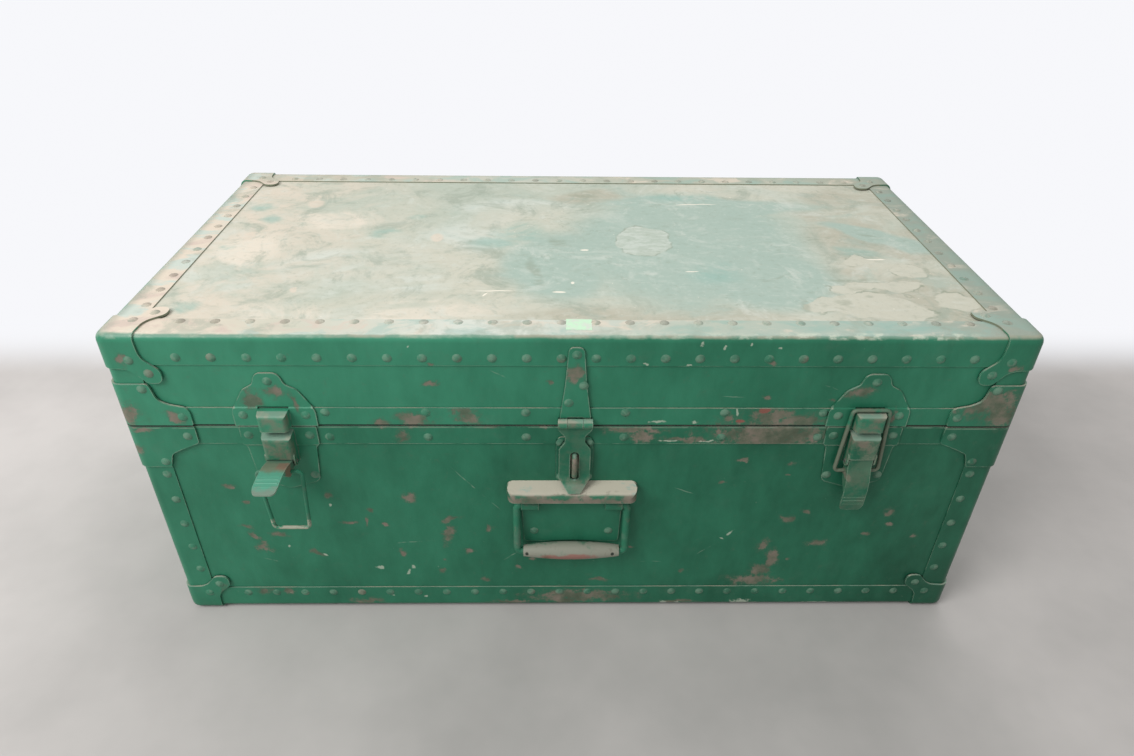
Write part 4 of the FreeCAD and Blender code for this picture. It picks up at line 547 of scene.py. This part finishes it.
def painted(name, chips=0.30, spots=(), flakes=(), lines=(), reds=(), haze=0.20, edge=0.60,
            ledge=0.80, above=None, on_lid=True, outward=None, seam=False, plain_step=False,
            edge_reach=0.8 * MM, handled=0.0, hood=False):
    """Enamel with bare brown patches, pale flakes and scratches, rubbed edges with a painted
    highlight, dust, grime and painted shade.

    chips is the share of patches at random places, and spots, flakes, lines and reds are listed
    marks. Dust lies at the strength of ledge on what looks up, above a height where one is given.
    outward is the side that is painted where the other sides are bare wood. seam paints shade as a
    dark line at the joint of lid and base and a painted highlight along the edge below it, handled
    dulls what stands out in front, plain_step keeps the catches' bend free of wear and of the
    painted edge highlight, and hood gives the handle's hood its own dust.
    """
    coat = Coat(name)
    colour = enamel(coat)
    blur = coat.noise(42, 5, 0.65, shift=2.0)
    colour = coat.mix(coat.times(coat.step(blur, 0.52, 0.80), haze), colour, GREEN_GREY)
    tint = coat.noise(48, 5, 0.6, shift=7.0)
    brown = coat.ramp(tint, (0.36, BROWN_DARK), (0.50, BROWN), (0.66, ROSE))
    bare, dulled = chipped(coat, spots, chips)
    colour = coat.mix(coat.times(dulled, 0.38), colour, GREEN_BROWN)
    worn = coat.times(bare, coat.plus(0.62, coat.times(coat.step(tint, 0.40, 0.56), 0.26)))
    colour = coat.mix(worn, colour, brown)
    if reds:
        red = coat.step(coat.on_front(coat.shaken(2 * MM, 120), reds, 1.5), 0.2, 0.5)
        colour = coat.mix(coat.times(red, 0.75), colour, RUST_RED)
    if flakes:
        pale = coat.plus(coat.on_front(coat.shaken(3 * MM, 140), flakes, 1.5),
                         coat.times(coat.minus(coat.noise(230, 6, 0.72), 0.5), 2.2))
        colour = coat.mix(coat.times(coat.step(pale, 0.36, 0.70), 0.52), colour, FLAKE)
    if lines:
        faint = coat.times(coat.step(coat.on_front(coat.shaken(2.2 * MM, 40), lines), 0.0, 0.5),
                           coat.step(coat.noise(90, 3), 0.42, 0.60))
        colour = coat.mix(coat.times(faint, 0.45), colour, PALE_EDGE)
    if plain_step:
        off = coat.math("ABSOLUTE", coat.minus(coat.math("ABSOLUTE", coat.x), BOLT_X))
        fold = coat.times(coat.step(off, CATCH_HALF - 2.5 * MM, CATCH_HALF - 4 * MM),
                          coat.step(coat.y, FRONT - 4.5 * MM, FRONT - 3.5 * MM),
                          coat.step(coat.near(coat.z, RIM_TOP + 1.5 * MM, 9 * MM), 0.0, 0.4))
        unfolded = coat.minus(1.0, fold)
        edge, ledge = coat.times(unfolded, edge), coat.times(unfolded, ledge)
    if edge:
        # Rubbed pale edges, which also stand as a painted highlight along the edges
        colour = coat.rubbed(colour, edge_reach, edge)
    if seam:
        # Painted shade: a dark line on the faces along the joint of lid and base
        dark = coat.near(coat.z, SEAM + 0.6 * MM, 1.7 * MM)
        dark = coat.times(coat.step(dark, 0.15, 0.6), coat.step(coat.nz, -0.6, -0.2))
        colour = coat.mix(coat.times(dark, 0.93), colour, SHADE_AND_GRIME_DARK)
        # Painted highlight: a pale line along the edge just below the joint
        lit = coat.times(coat.near(coat.z, SEAM - 1.6 * MM, 1.1 * MM),
                         coat.step(coat.noise(55, 5, 0.7, (0.6, 1, 1)), 0.38, 0.55))
        colour = coat.mix(coat.times(lit, 0.55), colour, PALE_EDGE)
    if handled:
        out = coat.times(coat.step(coat.y, FRONT - 4.5 * MM, FRONT - 6.5 * MM),
                         coat.step(coat.noise(75, 6, 0.7, shift=27.0), 0.36, 0.62), handled)
        colour = coat.mix(out, colour, coat.mix(coat.step(tint, 0.42, 0.60), RUBBED, BROWN))
    dusty = bare
    if ledge:
        colour, dusty = settled(coat, colour, ledge, above, on_lid, hood)
        dusty = coat.math("MAXIMUM", dusty, bare)
    # Grime and painted shade in corners and gaps: near black, or dark tan on the lid's top faces
    grime_and_shade = SHADE_AND_GRIME_DARK
    if ledge and on_lid:
        grime_and_shade = coat.mix(coat.step(coat.z, LID_TOP - 3 * MM, LID_TOP - MM), SHADE_AND_GRIME_DARK, TAN_DARK)
    colour = coat.soiled_and_shaded(colour, 2.4 * MM, 0.70, 0.28, 0.85, grime_and_shade)
    if outward:
        facing = coat.add("ShaderNodeVectorMath", operation="DOT_PRODUCT")
        coat.put(facing.inputs[0], coat.normal)
        facing.inputs[1].default_value = outward
        colour = coat.mix(coat.step(facing.outputs["Value"], 0.4, 0.6), wood_colour(coat), colour)
    rough = coat.math("MAXIMUM", coat.plus(coat.times(blur, 0.25), 0.28), coat.times(dusty, 0.78))
    normal = coat.bump(bare, -0.12 * MM)
    normal = coat.bump(coat.noise(420, 3), 0.05 * MM, normal)
    normal = coat.bump(coat.noise(15, 3), 0.35 * MM, normal)
    return coat.finish(colour, rough, normal)


def wood_colour(coat):
    """Plywood face with a long grain."""
    grain = coat.noise(70, 6, 0.65, (0.09, 1, 1), 1.0, 0.6)
    tone = coat.noise(6, 3, 0.5, shift=3.0)
    colour = coat.mix(coat.step(grain, 0.35, 0.70), WOOD, WOOD_DARK)
    return coat.mix(coat.times(coat.step(tone, 0.4, 0.7), 0.3), colour, WOOD_DARK)


def bare_wood(name):
    coat = Coat(name)
    return coat.finish(wood_colour(coat), 0.72, coat.bump(coat.noise(160, 4, 0.6, (0.1, 1, 1)),
                                                          0.2 * MM))


def top_coat(name):
    """The lid's top board: faded and dusty, with a ring stain, peeled paint and scratches."""
    coat = Coat(name)
    colour = faded_top(coat)
    grain = coat.noise(90, 5, 0.6, (0.5, 1.4, 1), 19.0)
    ragged = coat.shaken(16 * MM, 34)
    peel = coat.plus(coat.on_top(ragged, TOP_PEELED), coat.times(coat.minus(grain, 0.5), 0.5))
    inside = coat.step(peel, 0.12, 0.26)
    colour = coat.mix(coat.times(inside, 0.85), colour, CREAM)
    broken = coat.step(coat.noise(30, 5, 0.62, shift=8.0), 0.48, 0.62)
    rim = coat.times(coat.near(peel, 0.17, 0.09), broken)
    smudge = coat.on_top(coat.shaken(9 * MM, 50), TOP_SMUDGES, 1.5)
    smudge = coat.times(coat.step(smudge, 0.05, 0.7), coat.step(grain, 0.38, 0.58))
    dark = coat.math("MAXIMUM", coat.times(rim, 0.72), coat.times(smudge, 0.42))
    colour = coat.mix(dark, colour, OLIVE)
    ring = coat.on_top(coat.shaken(10 * MM, 60), TOP_RING)
    inside_ring = coat.mix(coat.step(grain, 0.40, 0.60), SAGE, CLOUD)
    colour = coat.mix(coat.times(coat.step(ring, 0.05, 0.13), 0.62), colour, inside_ring)
    line = coat.times(coat.near(ring, 0.08, 0.06), coat.step(coat.noise(80, 4), 0.40, 0.56))
    colour = coat.mix(coat.times(line, 0.62), colour, OLIVE)
    scratches = coat.on_top(coat.shaken(2.2 * MM, 50), TOP_SCRATCHES)
    colour = coat.mix(coat.times(coat.step(scratches, 0.0, 0.35), 0.9), colour, SCRATCH)
    specks = coat.step(coat.noise(210, 2, 0.5, shift=30.0), 0.74, 0.77)
    colour = coat.mix(coat.times(specks, 0.5), colour, SCRATCH)
    colour = coat.mix(coat.times(coat.step(grain, 0.56, 0.72), 0.16), colour, OLIVE)
    colour = coat.mix(coat.times(coat.step(grain, 0.44, 0.30), 0.22), colour, CLOUD)
    grit = coat.noise(170, 4, 0.7, shift=51.0)
    colour = coat.mix(coat.times(coat.step(grit, 0.54, 0.72), 0.26), colour, OLIVE)
    colour = coat.mix(coat.times(coat.step(grit, 0.46, 0.30), 0.22), colour, CLOUD)
    # Grime and painted shade, dark tan, in the corners along the bindings
    colour = coat.soiled_and_shaded(colour, 2.4 * MM, 0.66, 0.36, 0.75, TAN_DARK)
    colour = coat.mix(coat.step(coat.nz, 0.4, 0.6), wood_colour(coat), colour)
    normal = coat.bump(inside, 0.12 * MM)
    normal = coat.bump(coat.noise(300, 4), 0.10 * MM, normal)
    normal = coat.bump(coat.noise(7, 3), 1.2 * MM, normal)
    return coat.finish(colour, 0.58, normal)


def head_coat(name):
    """Nail and rivet heads: each a little paler or browner than the strip around it, with a painted
    highlight on the crown and grime and painted shade around the foot.
    """
    coat = Coat(name)
    colour = enamel(coat)
    each = coat.noise(21, 2, 0.5, shift=41.0)
    pale = coat.plus(0.2, coat.times(coat.step(each, 0.36, 0.55), 0.35))
    colour = coat.mix(pale, colour, GREEN_GREY)
    colour = coat.mix(coat.times(coat.step(each, 0.60, 0.68), 0.75), colour, BROWN)
    colour = coat.mix(coat.times(coat.step(each, 0.345, 0.30), 0.75), colour, ROSE)
    # Painted highlight: a pale crown on each head, away from its foot
    painted_highlight_crown = coat.times(coat.step(coat.crevices(3.0 * MM), 0.80, 0.97),
                       coat.step(coat.noise(150, 3), 0.40, 0.58))
    colour = coat.mix(coat.times(painted_highlight_crown, 0.30), colour, PALE_EDGE)
    up = coat.step(coat.nz, 0.50, 0.85)
    low = coat.mix(coat.times(up, 0.70), colour, LEDGE_GREEN)
    on_lid = coat.step(coat.z, LID_TOP - 6 * MM, LID_TOP - 3 * MM)
    # Grime and painted shade: a dark ring around the foot of each head, fainter on the lid's top
    grime_and_shade = coat.times(coat.step(coat.crevices(2.6 * MM), 0.90, 0.45),
                      coat.plus(1.0, coat.times(on_lid, -0.55)))
    low = coat.mix(coat.times(grime_and_shade, 0.9), low, SHADE_AND_GRIME_DARK)
    worn_top = coat.ramp(coat.noise(60, 3, shift=5.0), (0.36, GREEN_GREY), (0.46, LEDGE_TAN),
                         (0.58, BROWN))
    worn_top = coat.mix(0.50, worn_top, faded_binding(coat))
    colour = coat.mix(coat.times(on_lid, coat.step(coat.nz, 0.2, 0.6)), low, worn_top)
    return coat.finish(colour, coat.plus(coat.times(each, 0.3), 0.32))


def wire_coat(name, tone, share, red=0.0, ends=None, holes=False):
    """Handled steel wire or a grip, with its enamel rubbed through to a tone.

    ends is the height below which the wire is bare, red the strength of the grip's red patch.
    """
    coat = Coat(name)
    colour = enamel(coat)
    wear = coat.noise(48, 5, 0.65, shift=4.0)
    colour = coat.mix(coat.times(coat.step(wear, 0.60 - share, 0.80 - share), 0.85), colour, tone)
    brown = coat.step(coat.noise(85, 5, 0.6, shift=9.0), 0.58, 0.68)
    colour = coat.mix(coat.times(brown, 0.6), colour, BROWN)
    if ends is not None:
        bar = coat.times(coat.step(coat.z, ends + 4 * MM, ends),
                         coat.step(coat.noise(120, 5, 0.7, shift=3.0), 0.36, 0.56))
        colour = coat.mix(coat.times(bar, 0.85), colour, LEDGE_TAN)
    if red:
        under = coat.plus(coat.on_front(coat.shaken(4 * MM, 60), GRIP_REDS, 1.4),
                          coat.times(coat.noise(140, 5, 0.7, shift=15.0), 0.8))
        colour = coat.mix(coat.times(coat.step(under, 0.45, 0.85), red), colour, RUST_RED)
    if holes:
        # Painted shade: dark spots where the grip's holes are
        pits = coat.step(coat.on_front(coat.place, GRIP_HOLES), 0.1, 0.4)
        colour = coat.mix(coat.times(pits, 0.9), colour, SHADE_AND_GRIME_DARK)
    # Grime and painted shade in corners and gaps
    colour = coat.soiled_and_shaded(colour, 2.0 * MM, 0.6, 0.2, 0.8)
    rough = coat.plus(coat.times(wear, 0.3), 0.32)
    return coat.finish(colour, rough, coat.bump(coat.noise(260, 4), 0.10 * MM))


def open_lever_coat(name):
    """The open lever: tan with a rusty patch at its root, bright enamel with a painted sheen
    further out, grey at its tip.
    """
    coat = Coat(name)
    patchy = coat.noise(85, 5, 0.7)
    out = coat.minus(FRONT, coat.plus(coat.y, coat.times(coat.minus(patchy, 0.5), 22 * MM)))
    # Further out, bright teal is the enamel with a painted sheen
    colour = coat.ramp(coat.times(out, 1 / LEVER_REACH), (0.22, GREEN_GREY), (0.34, LEVER_TAN),
                       (0.50, LEVER_TAN), (0.60, LEVER_TEAL_WITH_SHEEN), (0.84, LEVER_TEAL_WITH_SHEEN),
                       (0.95, LEVER_TIP))
    rusty = coat.times(coat.step(coat.near(out, 24 * MM, 9 * MM), 0.0, 0.5),
                       coat.step(coat.near(coat.x, -253 * MM, 8 * MM), 0.0, 0.5))
    colour = coat.mix(coat.times(rusty, 0.85), colour, LEVER_RUST)
    # Rubbed pale edges, which also stand as a painted highlight along the edges
    colour = coat.rubbed(colour, 1.1 * MM, 0.8)
    # Grime and painted shade in corners and gaps
    colour = coat.soiled_and_shaded(colour, 2.4 * MM, 0.70, 0.28, 0.85)
    return coat.finish(colour, coat.plus(coat.times(patchy, 0.3), 0.25),
                       coat.bump(coat.noise(260, 4), 0.10 * MM))


def plain_steel(name):
    coat = Coat(name)
    spots = coat.noise(120, 5, 0.6)
    colour = coat.mix(coat.step(spots, 0.45, 0.65), STEEL, BROWN)
    return coat.finish(colour, coat.plus(coat.times(spots, 0.3), 0.3),
                       coat.bump(spots, 0.1 * MM), coat.step(spots, 0.62, 0.45))


def paper_coat(name):
    """A blank label, slightly creased."""
    coat = Coat(name)
    colour = coat.mix(coat.step(coat.noise(160, 4), 0.4, 0.7), PAPER, CLOUD)
    return coat.finish(colour, 0.6, coat.bump(coat.noise(90, 3), 0.1 * MM))


boards = {
    "front": painted("front_paint", 0.0, BOARD_CHIPS, BOARD_FLAKES, BOARD_LINES, haze=0.12,
                     edge=0.0, ledge=0.0, outward=(0, -1, 0)),
    "back": painted("back_paint", 0.38, haze=0.15, edge=0.0, ledge=0.0, outward=(0, 1, 0)),
    "left": painted("left_paint", 0.38, haze=0.15, edge=0.0, ledge=0.0, outward=(-1, 0, 0)),
    "right": painted("right_paint", 0.38, haze=0.15, edge=0.0, ledge=0.0, outward=(1, 0, 0)),
    "bottom": painted("bottom_paint", 0.30, haze=0.25, edge=0.0, ledge=0.0, outward=(0, 0, -1)),
}
coats = {
    "lid_front_board": painted("lid_front_paint", 0.0, LID_CHIPS, (), LID_LINES, haze=0.12,
                               edge=0.0, ledge=0.0, outward=(0, -1, 0)),
    "lid_board": top_coat("lid_top_paint"),
    "base_lip": bare_wood("plain_wood"),
    "lid_edge_front": painted("lid_edge_enamel", 0.0, EDGE_CHIPS, EDGE_FLAKES),
    "hasp_staple": painted("staple_enamel", 0.75, STAPLE_CHIPS, haze=0.5, ledge=0.5, on_lid=False),
}
rim = painted("rim_enamel", 0.0, RIM_CHIPS, RIM_FLAKES, (), RIM_REDS, on_lid=False, seam=True,
              edge=0.9, edge_reach=1.1 * MM)
for name in ("lid_rim_front", "base_rim_front", "bottom_edge_front"):
    coats[name] = rim
strip = painted("strip_enamel", 0.30, seam=True)
cap = painted("corner_enamel", 0.20, CAP_CHIPS, haze=0.30, edge=0.9, seam=True,
              edge_reach=1.1 * MM)
fitting = painted("fitting_enamel", 0.16, FITTING_CHIPS, haze=0.30, edge=0.95, on_lid=False,
                  plain_step=True, edge_reach=1.5 * MM, handled=0.85)
coats["bolt_left_lever"] = open_lever_coat("left_lever_enamel")
lever = painted("lever_enamel", 0.22, LEVER_CHIPS, haze=0.20, ledge=0.25, edge=0.9,
                on_lid=False, edge_reach=1.1 * MM, handled=0.35)
handle = painted("handle_enamel", 0.0, HOOD_CHIPS, haze=0.25, ledge=0.95, above=HOOD_FOOT,
                 on_lid=False, edge=0.8, edge_reach=1.1 * MM, hood=True)
heads = head_coat("nail_enamel")
wire = wire_coat("wire_enamel", GREEN_GREY, 0.12)
coats["bolt_right_bail"] = wire_coat("right_bail_enamel", BAIL_BROWN, 0.30)
coats["bolt_left_bail"] = wire_coat("left_bail_enamel", GREEN_GREY, 0.12, ends=BAIL_FOOT)
grip = wire_coat("grip_enamel", GRIP_TAN, 0.30, 0.65, holes=True)
pins = plain_steel("pin_steel")


def coat_for(name):
    """The material of a CAD node, by its name."""
    if name in coats:
        return coats[name]
    if name.endswith("_board"):
        return boards[name.replace("_board", "").split("_")[-1]]
    if name == "hasp_pin" or name.startswith("bolt_") and name.endswith("lever"):
        return lever
    if name.endswith(("_pin", "_pins")):
        return pins
    if name.endswith("_grip"):
        return grip
    if name.endswith("_bail"):
        return wire
    if name.endswith(("_nails", "_rivets")):
        return heads
    if name.startswith("handle_"):
        return handle
    if name.endswith(("_caps", "_brackets")):
        return cap
    if name.startswith(("bolt_", "hasp_", "hinge_")):
        return fitting
    return strip


for name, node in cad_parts.items():
    node.data.materials.clear()
    node.data.materials.append(coat_for(name))

# Blank label on the lid's front binding
LABEL_PLACE = (3.7 * MM, FRONT + 20.5 * MM, LID_TOP + 0.12 * MM)
LABEL_SIZE = (22 * MM, 18 * MM, 0.16 * MM)
LABEL_TURN = math.radians(-1.5)
bpy.ops.mesh.primitive_cube_add(size=1, location=LABEL_PLACE, rotation=(0, 0, LABEL_TURN))
label = bpy.context.object
label.name = "lid_label"
label.scale = LABEL_SIZE
bpy.ops.object.transform_apply(location=True, rotation=True, scale=True)
label.data.materials.append(paper_coat("label_paper"))
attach(label, "lid")

# Camera: the photograph's place, view and lens
CAMERA_PLACE = Vector((-0.01855, FRONT - 0.55366, 0.65546))
PITCH, YAW, ROLL = (math.radians(angle) for angle in (33.528, 1.273, 0.834))
LENS, SENSOR = 24.81, 36
forward = Vector((math.sin(YAW) * math.cos(PITCH), math.cos(YAW) * math.cos(PITCH),
                  -math.sin(PITCH)))
level = Vector((math.cos(YAW), -math.sin(YAW), 0))
above = level.cross(forward)
right = math.cos(ROLL) * level + math.sin(ROLL) * above
up = -math.sin(ROLL) * level + math.cos(ROLL) * above
lens = bpy.data.cameras.new("camera")
lens.sensor_width = SENSOR
lens.lens = LENS
lens.clip_start = 0.02
camera = bpy.data.objects.new("camera", lens)
camera.matrix_world = Matrix.Translation(CAMERA_PLACE) @ Matrix(
    (right, up, -forward)).transposed().to_4x4()
bpy.context.scene.collection.objects.link(camera)
bpy.context.scene.camera = camera


def floor_coat():
    """Pale concrete that turns into a white backdrop behind the trunk."""
    coat = Coat("floor_paint")
    cloud = coat.noise(3.0, 5, 0.6)
    tone = coat.plus(cloud, coat.times(coat.step(coat.x, -0.75, 0.05), -0.42),
                     coat.times(coat.step(coat.x, 0.35, 0.8), 0.25))
    near = coat.ramp(tone, (0.0, CONCRETE_DARK), (0.60, CONCRETE))
    far = coat.step(coat.y, BACK + 40 * MM, BACK + 200 * MM)
    coat.finish(coat.mix(far, near, BACKDROP), 0.85)
    rays = coat.add("ShaderNodeLightPath").outputs
    seen = coat.most([rays[kind] for kind in ("Is Camera Ray", "Is Glossy Ray",
                                              "Is Transmission Ray")])
    glow = coat.add("ShaderNodeEmission")
    glow.inputs["Color"].default_value = BACKDROP_SEEN
    both = coat.add("ShaderNodeMixShader")
    coat.put(both.inputs[0], coat.times(far, seen))
    coat.put(both.inputs[1], coat.shader.outputs[0])
    coat.put(both.inputs[2], glow.outputs[0])
    coat.put(coat.tree.nodes["Material Output"].inputs["Surface"], both.outputs[0])
    return coat.material


bpy.ops.mesh.primitive_plane_add(size=24, location=(0, 0, 0))
floor = bpy.context.object
floor.name = "floor"
floor.data.materials.append(floor_coat())

# Soft studio light: a plain white world, one wide lamp high on the left and one behind
world = bpy.data.worlds.new("studio")
world.use_nodes = True
background = world.node_tree.nodes["Background"]
background.inputs["Color"].default_value = (1, 1, 1, 1)
background.inputs["Strength"].default_value = 0.60
bpy.context.scene.world = world


def lamp(name, place, aim, size, power):
    light = bpy.data.lights.new(name, "AREA")
    light.shape = "DISK"
    light.size = size
    light.energy = power
    item = bpy.data.objects.new(name, light)
    item.location = place
    item.rotation_euler = (Vector(aim) - Vector(place)).to_track_quat("-Z", "Y").to_euler()
    bpy.context.scene.collection.objects.link(item)


lamp("key", (-1.7, -1.3, 2.1), (0, 0, 0.15), 1.6, 52)
lamp("fill", (0.6, 1.6, 2.6), (0, 0, 0.2), 2.0, 18)

bpy.context.scene.view_settings.view_transform = "Standard"
